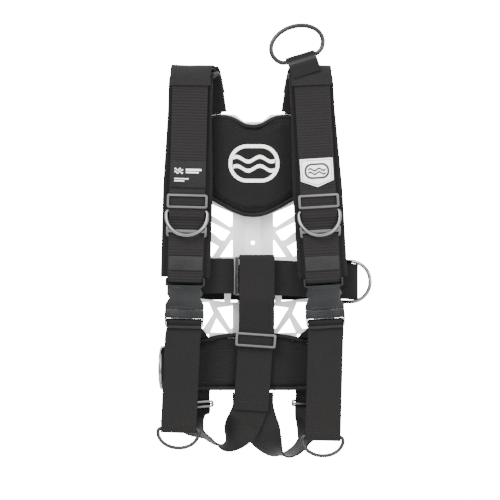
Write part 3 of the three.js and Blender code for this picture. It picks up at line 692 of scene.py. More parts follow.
def round_section(diameter: float, sides: int = 14) -> list[tuple[float, float]]:
    """The outline of a round wire."""
    turns = [2 * math.pi * i / sides for i in range(sides)]
    return [(math.cos(t) * diameter / 2, math.sin(t) * diameter / 2) for t in turns]


def softened_copy(
    name: str,
    node: str,
    material: bpy.types.Material,
    body: str,
    bevel: float = 0.6,
    segments: int = 2,
    sharp: float = 35.0,
) -> bpy.types.Object:
    """Copy a CAD node with its edges rounded over.

    Args:
        name: the piece's name.
        node: the CAD node copied, which the piece then stands for.
        material: its finish.
        body: the CAD body that it moves with.
        bevel: how far an edge is rounded, in millimetres.
        segments: faces across a rounded edge.
        sharp: an edge bent by more than this many degrees is rounded.

    Returns:
        The piece.
    """
    mesh = bmesh.new()
    mesh.from_mesh(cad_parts[node].data)
    bmesh.ops.remove_doubles(mesh, verts=mesh.verts, dist=0.00002)
    limit = math.radians(2.0)
    bmesh.ops.dissolve_limit(
        mesh, angle_limit=limit, verts=mesh.verts, edges=mesh.edges, delimit={"NORMAL"}
    )
    corner = math.radians(sharp)
    edges = [e for e in mesh.edges if len(e.link_faces) == 2 and e.calc_face_angle() > corner]
    bmesh.ops.bevel(
        mesh, geom=edges, offset=bevel * MM, offset_type="OFFSET", segments=segments,
        profile=0.5, affect="EDGES", clamp_overlap=True, material=-1,
    )
    return finished(name, mesh, material, body, (node,), smooth=50.0, scale=1.0)


class Surface:
    """The front of some finished pieces, for laying print and thread on them."""

    def __init__(self, *pieces: bpy.types.Object) -> None:
        """Gather the pieces' faces.

        Args:
            *pieces: what the print or thread lies on.
        """
        gathered = bmesh.new()
        depsgraph = bpy.context.evaluated_depsgraph_get()
        for piece in pieces:
            data = piece.evaluated_get(depsgraph).to_mesh()
            gathered.from_mesh(data)
        self.tree = BVHTree.FromBMesh(gathered)
        gathered.free()

    def depth(self, x: float, z: float, default: float, start: float = -150.0) -> float:
        """Where the surface is, seen from the front.

        Args:
            x: to the right, in millimetres.
            z: up, in millimetres.
            default: the answer where nothing is hit.
            start: how far out the look begins.

        Returns:
            The surface's y, in millimetres.
        """
        hit = self.tree.ray_cast(vec(x, start, z) * MM, Vector((0.0, 1.0, 0.0)))[0]
        return default if hit is None else hit.y / MM

    def lay(self, mesh: bmesh.types.BMesh, back: float) -> None:
        """Move a flat shape so that its back follows the surface.

        Args:
            mesh: the shape, in millimetres.
            back: the y of the shape's back before it is laid.
        """
        for vertex in mesh.verts:
            lift = vertex.co.y - back
            vertex.co.y = self.depth(vertex.co.x, vertex.co.z, back) + lift


def stitches(
    line: Sequence[Vector],
    surface: Surface | None = None,
    pitch: float = 3.4,
    length: float = 2.3,
    thread: float = 0.7,
    sunk: float = 0.15,
) -> bmesh.types.BMesh:
    """Sew a row of stitches along a line.

    Args:
        line: where the seam runs, in millimetres.
        surface: what it is sewn into, or None to follow the line as it is.
        pitch: from one stitch to the next.
        length: each stitch's own length.
        thread: the thread's thickness.
        sunk: how far a stitch is pulled into the cloth.

    Returns:
        The row of stitches.
    """
    mesh = bmesh.new()
    spots = respaced(line, pitch)
    for start, end in zip(spots, spots[1:]):
        middle = (start + end) / 2
        along = (end - start).normalized()
        if surface is not None:
            middle.y = surface.depth(middle.x, middle.z, middle.y)
        middle.y -= thread / 2 - sunk
        turn = along.to_track_quat("X", "Y").to_matrix().to_4x4()
        bmesh.ops.create_icosphere(
            mesh, subdivisions=1, radius=0.5,
            matrix=Matrix.Translation(middle) @ turn
            @ Matrix.Diagonal((length, thread, thread, 1.0)),
        )
    return mesh


def merged(meshes: Iterable[bmesh.types.BMesh]) -> bmesh.types.BMesh:
    """Put several shapes in one, freeing them."""
    whole = bmesh.new()
    for mesh in meshes:
        data = bpy.data.meshes.new("part")
        mesh.to_mesh(data)
        mesh.free()
        whole.from_mesh(data)
        bpy.data.meshes.remove(data)
    return whole


def polygon_plate(
    corners: Sequence[tuple[float, float]], front: float, back: float, grid: float = 0.0
) -> bmesh.types.BMesh:
    """A flat shape drawn in X and Z, made solid between two depths.

    Args:
        corners: its outline.
        front: the y of its front.
        back: the y of its back.
        grid: if not zero, its faces are cut this fine so that it can follow a surface.

    Returns:
        The solid.
    """
    mesh = bmesh.new()
    ring = [mesh.verts.new((x, back, z)) for x, z in corners]
    face = mesh.faces.new(ring)
    grown = bmesh.ops.extrude_face_region(mesh, geom=[face])["geom"]
    moved = [part for part in grown if isinstance(part, bmesh.types.BMVert)]
    bmesh.ops.translate(mesh, verts=moved, vec=(0.0, front - back, 0.0))
    if grid:
        xs = [x for x, _ in corners]
        zs = [z for _, z in corners]
        for axis, low, high in (((1, 0, 0), min(xs), max(xs)), ((0, 0, 1), min(zs), max(zs))):
            for step in range(1, int((high - low) / grid) + 1):
                place = Vector(axis) * (low + step * grid)
                bmesh.ops.bisect_plane(
                    mesh, geom=mesh.verts[:] + mesh.edges[:] + mesh.faces[:],
                    plane_co=place, plane_no=axis,
                )
    bmesh.ops.recalc_face_normals(mesh, faces=mesh.faces)
    return mesh


# ------------------------------------------------------------------ soft forms


@dataclass
class StuffedForm:
    """A flat padded panel: foam in fabric, swollen between its seams."""

    outline: list[tuple[float, float]]
    front: float
    back: float
    voxel: float = 3.5
    swell: float = 5.0
    draw: float = 1.0
    inset: float = 1.0
    pressure: float = 4.0
    frames: int = 20
    crease: float = 0.0
    crease_size: float = 30.0
    seams: list[list[tuple[float, float]]] = field(default_factory=list)
    seam_depth: float = 1.6
    seam_width: float = 4.5

    def shrunk(self, inset: float) -> list[tuple[float, float]]:
        """The outline drawn in, so that it has room to swell.

        Args:
            inset: how far it is drawn in.

        Returns:
            The smaller outline.
        """
        xs = [x for x, _ in self.outline]
        zs = [z for _, z in self.outline]
        cx, cz = (min(xs) + max(xs)) / 2, (min(zs) + max(zs)) / 2
        sx = 1 - 2 * inset / (max(xs) - min(xs))
        sz = 1 - 2 * inset / (max(zs) - min(zs))
        return [(cx + (x - cx) * sx, cz + (z - cz) * sz) for x, z in self.outline]

    def blank(self) -> bpy.types.Object:
        """Make the panel before it is stuffed, remeshed evenly.

        Returns:
            The object that the cloth is simulated on.
        """
        core = (self.front - self.back) * 0.26
        mesh = polygon_plate(self.shrunk(self.inset), self.front - core, self.back + core)
        bmesh.ops.scale(mesh, vec=(MM,) * 3, verts=mesh.verts)
        data = bpy.data.meshes.new("form")
        mesh.to_mesh(data)
        mesh.free()
        blank = bpy.data.objects.new("form", data)
        bpy.context.scene.collection.objects.link(blank)
        remesh = blank.modifiers.new("Even", "REMESH")
        remesh.mode = "VOXEL"
        remesh.voxel_size = self.voxel * MM
        even = bpy.data.meshes.new_from_object(
            blank.evaluated_get(bpy.context.evaluated_depsgraph_get())
        )
        blank.modifiers.clear()
        blank.data = even
        return blank

    def stuffed(self) -> bmesh.types.BMesh:
        """Blow the panel up as cloth and hold it to its depth.

        Returns:
            The swollen form, in millimetres.
        """
        blank = self.blank()
        rest = [v.co.copy() for v in blank.data.vertices]
        cloth = blank.modifiers.new("Cloth", "CLOTH")
        cloth.settings.quality = 5
        cloth.settings.use_pressure = True
        cloth.settings.uniform_pressure_force = self.pressure
        cloth.settings.effector_weights.gravity = 0.0
        cloth.point_cache.frame_start = 1
        cloth.point_cache.frame_end = self.frames
        for step in range(1, self.frames + 1):
            bpy.context.scene.frame_set(step)
        depsgraph = bpy.context.evaluated_depsgraph_get()
        swollen = bpy.data.meshes.new_from_object(blank.evaluated_get(depsgraph))
        for vertex, home in zip(swollen.vertices, rest):
            move = vertex.co - home
            flat = Vector((move.x, 0.0, move.z))
            drawn_in = self.draw * MM * min(1.0, flat.length / max(self.draw * MM, 1e-9))
            swollen_by = max(-self.swell * MM, min(self.swell * MM, move.y))
            vertex.co = home + flat.normalized() * drawn_in + Vector((0.0, swollen_by, 0.0))
        bpy.context.scene.frame_set(1)
        blank.modifiers.clear()
        blank.data = swollen
        smooth = blank.modifiers.new("Smooth", "SUBSURF")
        smooth.levels = smooth.render_levels = 1
        final = bpy.data.meshes.new_from_object(
            blank.evaluated_get(bpy.context.evaluated_depsgraph_get())
        )
        mesh = bmesh.new()
        mesh.from_mesh(final)
        bpy.data.objects.remove(blank)
        bmesh.ops.scale(mesh, vec=(1 / MM,) * 3, verts=mesh.verts)
        self.press(mesh)
        return mesh

    def press(self, mesh: bmesh.types.BMesh) -> None:
        """Fit the form between its depths, crease its face and sew its seams.

        Args:
            mesh: the swollen form.
        """
        middle = (self.front + self.back) / 2
        for vertex in mesh.verts:
            at = vertex.co
            toward = 1.0 if at.y < middle else 0.0
            pull = 0.0
            for seam in self.seams:
                gap = distance_to(seam, at.x, at.z)
                pull = max(pull, self.seam_depth * max(0.0, 1 - (gap / self.seam_width) ** 2))
            wrinkle = noise(Vector((at.x, at.z * 2.2, 3.0)) / self.crease_size)
            at.y += toward * (pull + self.crease * (wrinkle + 0.35))
            at.y = min(self.back, max(self.front, at.y))


def distance_to(line: Sequence[tuple[float, float]], x: float, z: float) -> float:
    """How far a point is from a drawn line.

    Args:
        line: the line's corners.
        x: the point's place to the right.
        z: the point's height.

    Returns:
        The distance.
    """
    best = 1e9
    for (ax, az), (bx, bz) in zip(line, line[1:]):
        dx, dz = bx - ax, bz - az
        share = ((x - ax) * dx + (z - az) * dz) / max(dx * dx + dz * dz, 1e-9)
        share = min(1.0, max(0.0, share))
        best = min(best, math.hypot(x - ax - dx * share, z - az - dz * share))
    return best


def loop_of(corners: Sequence[tuple[float, float]], y: float, radius: float) -> list[Vector]:
    """A closed line round an outline, its corners rounded.

    Args:
        corners: the outline.
        y: the line's depth.
        radius: how far the rounding reaches.

    Returns:
        Evenly spaced points, the last one short of the first.
    """
    points = [vec(x, y, z) for x, z in corners]
    start = (points[0] + points[-1]) / 2
    line = route([start, *points, start], radius, 5)
    return respaced(line, 2.5)[:-1]


def binding(corners: Sequence[tuple[float, float]], front: float, back: float) -> bmesh.types.BMesh:
    """The tape sewn over the raw edge of a padded panel.

    Args:
        corners: the panel's outline.
        front: the y of the tape's front.
        back: the y of its back.

    Returns:
        The tape.
    """
    half = (back - front) / 2
    ring = [(math.cos(t) * BINDING_REACH, math.sin(t) * half) for t in
            (2 * math.pi * i / 12 for i in range(12))]
    line = loop_of(corners, (front + back) / 2, BINDING_BEND)
    last = len(line) - 1

    def outward(share: float) -> Vector:
        here = round(share * last)
        run = line[(here + 1) % len(line)] - line[here - 1]
        return run.cross(Vector((0.0, 1.0, 0.0))).normalized()

    return sweep(line, outward, lambda _: ring, closed=True)


# ------------------------------------------------------------------ shared sizes


@dataclass(frozen=True)
class Layout:
    """Sizes that several sub-assemblies share, front to back and top to bottom."""

    web: float = 50.0
    web_thick: float = 2.5
    wire: float = 5.2
    bar: float = 2.4
    plate_thick: float = 3.0
    ridge_foot: float = 30.0
    ridge_depth: float = 17.0
    wing_slope: float = 0.06
    strap_top: float = 257.0
    rear_run: float = -29.05
    front_run: float = -61.05
    web_y: float = -70.55
    pad_thick: float = 9.0
    web_offset: float = 9.5
    cover_offset: float = 12.8
    hump: float = 2.85
    buckle_top: float = -34.0
    buckle_y: float = -69.05
    lumbar_back: float = -25.63
    back_pad_back: float = -27.45

    def wing_back(self, x: float) -> float:
        """The plate's rear face at a distance from the middle."""
        return -(self.ridge_depth + (abs(x) - self.ridge_foot) * self.wing_slope)

    def wing_front(self, x: float) -> float:
        """The plate's front face at a distance from the middle."""
        return self.wing_back(x) - self.plate_thick

    def behind_plate(self, x: float) -> float:
        """The middle of a strap that lies behind the plate."""
        return self.wing_back(x) + CLEAR + self.half_thick

    def before_plate(self, x: float) -> float:
        """The middle of a strap that lies in front of the plate."""
        return self.wing_front(x) - CLEAR - self.half_thick

    @property
    def half_thick(self) -> float:
        """Half the thickness of the webbing."""
        return self.web_thick / 2

    @property
    def ring_half(self) -> float:
        """Half the width of a D-ring, to the middle of its wire."""
        return self.web / 2 + 3 * CLEAR + self.wire / 2


SIZE = Layout()


@dataclass(frozen=True)
class SideSizes:
    """What differs between the wearer's two sides, as distances out from the middle."""

    word: str
    dir: int
    strap_top: float
    strap_low: float
    rear_x: float
    tail_top: float
    tail_low: float
    tail_end: float
    belt_out: float
    belt_drop: float
    leg_x: float
    leg_low: float
    leg_in: float
    leg_start: float

    def strap_x(self, z: float) -> float:
        """The middle of the shoulder strap at a height."""
        slope = (self.strap_low - self.strap_top) / STRAP_RUN
        return self.dir * (self.strap_top + slope * (STRAP_HEAD - z))

    @property
    def tilt(self) -> float:
        """How far the shoulder strap leans, about the y axis."""
        return -self.dir * math.atan((self.strap_low - self.strap_top) / STRAP_RUN)

    def tail_x(self, z: float) -> float:
        """The middle of the hanging tail at a height."""
        grown = (self.tail_low - self.tail_top) * (TAIL_HEAD - z) / TAIL_RUN
        return self.dir * (self.tail_top + grown)

    @property
    def tail_tilt(self) -> float:
        """How far the hanging tail leans, about the y axis."""
        return -self.dir * math.atan((self.tail_low - self.tail_top) / TAIL_RUN)


class Side(Enum):
    """The two sides, as seen from the front."""

    LEFT = SideSizes("left", -1, 88, 95.5, 68, 99, 105, -252, 122, 0, 84, -273, 11, -41)
    RIGHT = SideSizes("right", 1, 82.5, 99, 71, 102, 98.5, -263, 149, 9, 83, -288, 13, -38)


def leaning(tilt: float) -> Vector:
    """The width direction of a strap that leans by an angle about the y axis."""
    return Vector((math.cos(tilt), 0.0, -math.sin(tilt)))


def d_ring(half: float, depth: float, wire: float, corner: float = 5.0) -> bmesh.types.BMesh:
    """A welded D-ring hanging below its bar, which lies on the x axis.

    Args:
        half: half its width, to the middle of the wire.
        depth: from the bar to the bottom.
        wire: the wire's diameter.
        corner: the radius of its two upper corners.

    Returns:
        The ring.
    """
    straight = max(corner, depth - half)
    line = [vec(-half + corner, 0, 0), vec(half - corner, 0, 0)]

    def arc(cx: float, cz: float, rx: float, rz: float, start: float, end: float) -> None:
        for step in range(1, 13):
            turn = math.radians(start + (end - start) * step / 12)
            line.append(vec(cx + rx * math.cos(turn), 0, cz + rz * math.sin(turn)))

    arc(half - corner, -corner, corner, corner, 90, 0)
    line.append(vec(half, 0, -straight))
    for begin in range(0, -180, -30):
        arc(0, -straight, half, depth - straight, begin, begin - 30)
    line.append(vec(-half, 0, -corner))
    arc(-half + corner, -corner, corner, corner, 180, 90)
    even = respaced(line, 2.0)[:-1]
    return sweep(even, lambda _: Vector((0, 1, 0)), lambda _: round_section(wire), closed=True)


def placed(mesh: bmesh.types.BMesh, *steps: Matrix) -> bmesh.types.BMesh:
    """Move a shape to its place and return it."""
    whole = Matrix.Identity(4)
    for step in steps:
        whole = whole @ step
    bmesh.ops.transform(mesh, matrix=whole, verts=mesh.verts)
    return mesh


def strap_piece(
    name: str,
    line: Sequence[Vector],
    across: Across,
    material: bpy.types.Material,
    node: str,
    width: float = 50.0,
    thick: float = 2.5,
    pitch: float = 2.5,
    ribs: float = 0.0,
    rib_pitch: float = 4.2,
    ripple: float = 0.25,
    body: str = ROOT,
) -> bpy.types.Object:
    """Weave a flat strap along a line.

    Args:
        name: the piece's name.
        line: the middle of the strap.
        across: the direction of its width at a share of its length.
        material: its webbing.
        node: the CAD node that it stands for.
        width: across it.
        thick: through it.
        pitch: distance between two cross-sections.
        ribs: height of its woven ribs.
        rib_pitch: from one rib to the next.
        ripple: how uneven it lies.
        body: the CAD body that it moves with.

    Returns:
        The strap.
    """
    shape = flat_section(width, thick, 12)
    plain = width / 2 - 2.6

    def relief(out: float, along: float, side: float) -> float:
        wave = ripple * noise(Vector((out * 0.02, along * 0.03, width)))
        if abs(out) > plain or not ribs:
            return wave
        return wave + side * ribs * (abs(math.sin(math.pi * along / rib_pitch)) - 0.5)

    mesh = sweep(respaced(line, pitch), across, lambda _: shape, relief)
    return finished(name, mesh, material, body, (node,))


# ------------------------------------------------------------------ plate and pads


@dataclass
class Backplate:
    """The truss-cut plate that carries everything."""

    def build(self) -> None:
        """Dress the plate, which keeps its CAD shape."""
        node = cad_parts["backplate"]
        node.data.materials.clear()
        node.data.materials.append(PLATE)
        LOG.info("dressed backplate")


@dataclass
class BackPad:
    """The padded panel between the shoulder blades, with its printed emblem."""

    top: float = 196.0
    thick: float = 12.0
    emblem_x: float = 1.5
    emblem_z: float = 128.5
    emblem_lift: float = 0.5

    @property
    def outline(self) -> list[tuple[float, float]]:
        """The panel's chevron outline."""
        right = [(12, self.top - 13.5), (32, self.top - 1.5), (52, self.top - 1),
                 (63, self.top - 4), (64, 150), (64, 84), (57, 79), (31, 64), (13, 56.5)]
        left = [(-x, z) for x, z in reversed(right)]
        return [(0, self.top - 15), *right, (0, 55.5), *left]

    def build(self) -> None:
        """Stuff the panel, bind its edge and print its emblem."""
        back = SIZE.back_pad_back
        front = back - self.thick
        lower = [(-52, 84), (-29, 70.5), (-12, 63.5), (0, 62), (12, 63.5), (29, 70.5), (52, 84)]
        upper = [(-47, 186), (-33, 185), (-12, 173), (0, 171.5), (12, 173), (33, 185), (47, 186)]
        form = StuffedForm(
            self.outline, front, back, swell=4.5, seams=[lower, upper], crease=0.35,
            crease_size=26.0, seam_depth=1.3, seam_width=3.5,
        )
        pad = finished("back_pad_cushion", form.stuffed(), PAD_FABRIC, ROOT,
                       ("back_pad",), smooth=80.0)
        edge = binding(self.outline, front + 3.4, back - 1.2)
        finished("back_pad_binding", edge, PAD_BINDING, ROOT, smooth=80.0)
        cover = Surface(pad)
        rows = [stitches([vec(x, front, z) for x, z in seam], cover) for seam in (lower, upper)]
        finished("back_pad_stitching", merged(rows), STITCH, ROOT, smooth=80.0)
        self.print_emblem(cover, front)

    def print_emblem(self, cover: Surface, front: float) -> None:
        """Print the emblem, two waves in a rounded frame, on the panel.

        Args:
            cover: the panel's surface.
            front: the y of the panel's front.
        """
        outer = stadium(72, 54, 26)
        inner = stadium(62, 44, 21)
        parts = [ribbon_ring(outer, inner, front - self.emblem_lift, front)]
        for height in (6.0, -7.0):
            top = [(x, height + 3.4 * math.sin(x * math.pi / 16.5) + 2.6)
                   for x in (-29.5 + i * 59 / 40 for i in range(41))]
            bottom = [(x, z - 5.2) for x, z in reversed(top)]
            parts.append(polygon_plate(top + bottom, front - self.emblem_lift, front, 4.0))
        mesh = merged(parts)
        place = (self.emblem_x, 0.0, self.emblem_z)
        bmesh.ops.translate(mesh, verts=mesh.verts, vec=place)
        cover.lay(mesh, front)
        finished("back_pad_print", mesh, PRINT, ROOT, ("back_pad_emblem",))


def stadium(width: float, height: float, radius: float, steps: int = 10) -> list[tuple[float, float]]:
    """The outline of a rectangle with round corners, anticlockwise.

    Args:
        width: across it.
        height: up it.
        radius: of its corners.
        steps: points on each corner.

    Returns:
        The outline.
    """
    x, z = width / 2 - radius, height / 2 - radius
    corners = ((x, z, 0), (-x, z, 90), (-x, -z, 180), (x, -z, 270))
    return [
        (cx + radius * math.cos(math.radians(start + 90 * i / steps)),
         cz + radius * math.sin(math.radians(start + 90 * i / steps)))
        for cx, cz, start in corners
        for i in range(steps + 1)
    ]


def ribbon_ring(
    outer: Sequence[tuple[float, float]],
    inner: Sequence[tuple[float, float]],
    front: float,
    back: float,
) -> bmesh.types.BMesh:
    """A flat band between two outlines with the same number of points.

    Args:
        outer: the outer outline.
        inner: the inner outline.
        front: the y of its front.
        back: the y of its back.

    Returns:
        The band, solid.
    """
    mesh = bmesh.new()
    for shape in (outer, inner):
        ring = [mesh.verts.new((x, back, z)) for x, z in shape]
        for pair in zip(ring, ring[1:] + ring[:1]):
            mesh.edges.new(pair)
    bmesh.ops.remove_doubles(mesh, verts=mesh.verts, dist=0.001)
    bmesh.ops.bridge_loops(mesh, edges=mesh.edges[:])
    grown = bmesh.ops.extrude_face_region(mesh, geom=mesh.faces[:])["geom"]
    moved = [part for part in grown if isinstance(part, bmesh.types.BMVert)]
    bmesh.ops.translate(mesh, verts=moved, vec=(0.0, front - back, 0.0))
    bmesh.ops.recalc_face_normals(mesh, faces=mesh.faces)
    return mesh


@dataclass
class LumbarPad:
    """The wide pad across the small of the back, and the ring tab at its end."""

    half: float = 124.0
    thick: float = 12.0
    tab_z: float = -161.0

    @property
    def outline(self) -> list[tuple[float, float]]:
        """The pad's outline, waisted a little at its top."""
        h = self.half
        right = [(20, -115), (50, -118), (64, -122), (h - 10, -127), (h, -138), (h, -176),
                 (h - 12, -188), (60, -191)]
        return right + [(-x, z) for x, z in reversed(right)]

    def build(self) -> None:
        """Stuff the pad, bind its edge and sew it."""
        back = SIZE.lumbar_back
        front = back - self.thick
        rows = [[(-110, -141), (-40, -137), (40, -137), (110, -141)],
                [(-110, -176), (-40, -179), (40, -179), (110, -176)]]
        form = StuffedForm(
            self.outline, front, back, voxel=4.0, swell=4.5, crease=1.3, crease_size=20.0,
            seams=rows, seam_depth=1.5, seam_width=4.0,
        )
        pad = finished("lumbar_cushion", form.stuffed(), PAD_FABRIC, ROOT,
                       ("lumbar_pad",), smooth=80.0)
        edge = binding(self.outline, front + 3.4, back - 1.2)
        finished("lumbar_binding", edge, PAD_BINDING, ROOT, smooth=80.0)
        cover = Surface(pad)
        seams = [stitches([vec(x, front, z) for x, z in row], cover) for row in rows]
        finished("lumbar_stitching", merged(seams), STITCH, ROOT, smooth=80.0)
        self.build_tab()

    def build_tab(self) -> None:
        """Make the webbing tab that holds the ring at the pad's end."""
        y = SIZE.lumbar_back - self.thick - CLEAR - SIZE.half_thick
        ring_x = -self.half - SIZE.wire / 2 - 2 * CLEAR
        turn_x = ring_x - SIZE.wire / 2 - 2 * CLEAR - SIZE.half_thick
        back = y + SIZE.wire + 6 * CLEAR + SIZE.web_thick
        line = route([vec(-self.half + 26, y, self.tab_z), vec(turn_x, y, self.tab_z),
                      vec(turn_x, back, self.tab_z), vec(-self.half - CLEAR, back, self.tab_z)], 3.4)
        strap_piece("hip_tab_webbing", line, lambda _: vec(0, 0, 1), FLAT_WEB,
                    "hip_tab_left", pitch=1.2, ripple=0.1)


# ------------------------------------------------------------------ shoulder straps


@dataclass
class ShoulderStrap:
    """A padded shoulder strap with its webbing, cover, sliders, chest ring and rubber."""

    side: SideSizes
    slot_x: float = 70.0
    slot_z: float = 172.0
    plate_top: float = 200.0
    slider_z: float = 74.0
    ring_z: float = 61.0
    rubber_z: float = -13.0
    rubber_thick: float = 1.6
    bar_drop: float = 4.5
    ring_drop: float = 37.0
    ring_lift: float = 20.0
    ring_y: float = -68.85
    pad_bend: float = 14.0
    width_top: float = 62.0
    width_low: float = 70.0

    def line(self, offset: float, z_start: float, z_end: float) -> list[Vector]:
        """The corners of a layer outside the pad's middle, from rear to front.

        Args:
            offset: how far outside the pad's middle it lies.
            z_start: where it starts at the rear.
            z_end: where it ends at the front.

        Returns:
            The corners.
        """
        rear, front = SIZE.rear_run + offset, SIZE.front_run - offset
        top = SIZE.strap_top - SIZE.pad_thick / 2 + offset
        x = self.side.dir * self.side.rear_x
        return [vec(x, rear, z_start), vec(x + self.side.dir * 8, rear, top),
                vec(self.side.strap_x(SIZE.strap_top), front, top),
                vec(self.side.strap_x(z_end), front, z_end)]

    def build(self) -> None:
        """Make the whole strap."""
        word = self.side.word
        pad = self.build_pad()
        webbing = self.build_webbing()
        self.build_cover()
        for node in (f"chest_slider_{word}", f"keeper_slider_{word}"):
            softened_copy(f"{node}_steel", node, STEEL, ROOT, bevel=0.85, segments=3)
        ring = placed(
            d_ring(SIZE.ring_half, self.ring_drop, SIZE.wire),
            Matrix.Translation((self.side.strap_x(self.ring_z), self.ring_y, self.ring_z)),
            Matrix.Rotation(self.side.tilt, 4, "Y"),
            Matrix.Rotation(-math.radians(self.ring_lift), 4, "X"),
        )
        finished(f"chest_ring_{word}_wire", ring, STEEL, f"chest_ring_{word}",
                 (f"chest_ring_{word}",), smooth=60.0)
        self.build_rubber()
        self.sew(pad, webbing)

    def pad_width(self, share: float) -> float:
        """The pad's width at a share of its length."""
        grown = min(1.0, max(0.0, (share - 0.35) / 0.3))
        return self.width_top + (self.width_low - self.width_top) * grown

    def build_pad(self) -> bpy.types.Object:
        """Make the pad: foam channels either side of the webbing, bound at its edges.

        Returns:
            The pad.
        """
        corners = self.line(0.0, 198.5, SIZE.buckle_top + 1)
        line = respaced(route(corners, self.pad_bend, 10), 3.0)
        half_thick = SIZE.pad_thick / 2

        def section(share: float) -> list[tuple[float, float]]:
            half = self.pad_width(share) / 2
            front = []
            for i in range(25):
                out = -half + 2.2 + (2 * half - 4.4) * i / 24
                edge = half - 2.2 - abs(out)
                rise = half_thick - 1.1 + 1.1 * min(1.0, math.sin(min(1.0, edge / 9) * math.pi / 2))
                groove = 1.5 * max(0.0, 1 - ((edge - 5.5) / 2.2) ** 2)
                front.append((out, rise - groove))
            back = [(x, -half_thick + 0.3) for x, _ in reversed(front)]
            round_edge = [(half - 0.6, 2.4), (half, 0.0), (half - 0.6, -2.4)]
            return front + round_edge + back + [(-x, z) for x, z in reversed(round_edge)]

        def relief(out: float, along: float, side: float) -> float:
            return 0.32 * side * noise(Vector((out * 0.05, along * 0.035, 7.0 * self.side.dir)))

        mesh = sweep(line, lambda _: vec(1, 0, 0), section, relief)
        name = f"shoulder_pad_{self.side.word}"
        pad = finished(f"{name}_foam", mesh, PAD_FABRIC, ROOT, (name,), smooth=70.0)
        return pad

    def build_webbing(self) -> bpy.types.Object:
        """Weave the ribbed webbing, from the plate's slot to the buckle's bar.

        Returns:
            The webbing.
        """
        side, x = self.side, self.side.dir * self.slot_x
        rear = SIZE.behind_plate(self.slot_x - SIZE.web / 2)
        front = SIZE.before_plate(self.slot_x + SIZE.web / 2)
        slot_part = route([vec(x, front, self.slot_z - 16), vec(x, front, self.slot_z),
                           vec(x, rear, self.slot_z), vec(x, rear, self.plate_top + 6)], 2.4)
        over = route(self.line(SIZE.web_offset, self.plate_top + 14, self.slider_z + 18),
                     self.pad_bend + SIZE.web_offset, 12)
        raised = SIZE.web_y - SIZE.hump
        wrap = SIZE.web_y + SIZE.half_thick + 2 * CLEAR + SIZE.bar + SIZE.half_thick
        low = SIZE.buckle_top - self.bar_drop - CLEAR - SIZE.half_thick
        stops = [(SIZE.web_y, self.slider_z + 17), (raised, self.slider_z + 12),
                 (raised, self.ring_z - 8), (SIZE.web_y, self.ring_z - 14), (SIZE.web_y, low),
                 (wrap, low), (wrap, SIZE.buckle_top)]
        low_part = route([vec(side.strap_x(z), y, z) for y, z in stops], 2.8)
        line = [*slot_part, *over, *low_part[1:]]

        def across(share: float) -> Vector:
            return leaning(side.tilt * min(1.0, max(0.0, (share - 0.42) / 0.1)))

        name = f"shoulder_webbing_{side.word}"
        return strap_piece(f"{name}_weave", line, across, RIBBED_WEB, name,
                           pitch=1.05, ribs=0.34, ripple=0.2)

    def build_cover(self) -> None:
        """Make the fabric sleeve over the top of the shoulder."""
        corners = self.line(SIZE.cover_offset, 225, 237)
        line = respaced(route(corners, self.pad_bend + SIZE.cover_offset, 12), 2.5)
        shape = flat_section(57, 2.0, 14)

        def relief(out: float, along: float, side: float) -> float:
            return 0.3 * noise(Vector((out * 0.06, along * 0.09, 11.0 * self.side.dir)))

        mesh = sweep(line, lambda _: vec(1, 0, 0), lambda _: shape, relief)
        name = f"shoulder_cover_{self.side.word}"
        cover = finished(f"{name}_fabric", mesh, PAD_BINDING, ROOT, (name,), 70.0)

    def build_rubber(self) -> None:
        """Mould the rubber keeper with its raised chevrons."""
        word, z = self.side.word, self.rubber_z
        node = f"rubber_band_{word}"
        softened_copy(f"{node}_moulding", node, RUBBER, ROOT, bevel=0.5)
        face = SIZE.web_y - SIZE.half_thick - CLEAR - self.rubber_thick
        marks = []
        for start in (-14.0, -4.0, 6.0):
            chevron = [(start, -5.5), (start + 3, -5.5), (start + 8, 0), (start + 3, 5.5),
                       (start, 5.5), (start + 5, 0)]
            marks.append(polygon_plate(chevron, face - 0.6, face + 0.1))
        mesh = placed(
            merged(marks), Matrix.Translation((self.side.strap_x(z), 0, z)),
            Matrix.Rotation(self.side.tilt, 4, "Y"),
        )
        finished(f"{node}_chevrons", mesh, RUBBER, ROOT)

    def sew(self, pad: bpy.types.Object, webbing: bpy.types.Object) -> None:
        """Stitch the pad's seams and the webbing's ends.

        Args:
            pad: the pad.
            webbing: the webbing on it.
        """
        cover, band = Surface(pad), Surface(webbing)
        side, y = self.side, SIZE.front_run - 5
        rows = []
        for gap in (-1, 1):
            seam = [vec(side.strap_x(z) + gap * (self.pad_width(1.0) / 2 - 7.7), y, z)
                    for z in (150, 60, -30)]
            rows.append(stitches(seam, cover))
        for z in (-26.0, -29.5):
            middle = side.strap_x(z)
            rows.append(stitches([vec(middle - 22, y, z), vec(middle + 22, y, z)], band))
        for gap in (-26.0, 26.0):
            x = side.strap_x(247)
            rows.append(stitches([vec(x + gap, y - 9, 243), vec(x + gap, y - 9, 238.5)], None))
        finished(f"shoulder_stitching_{side.word}", merged(rows), STITCH, ROOT,
                 smooth=80.0)


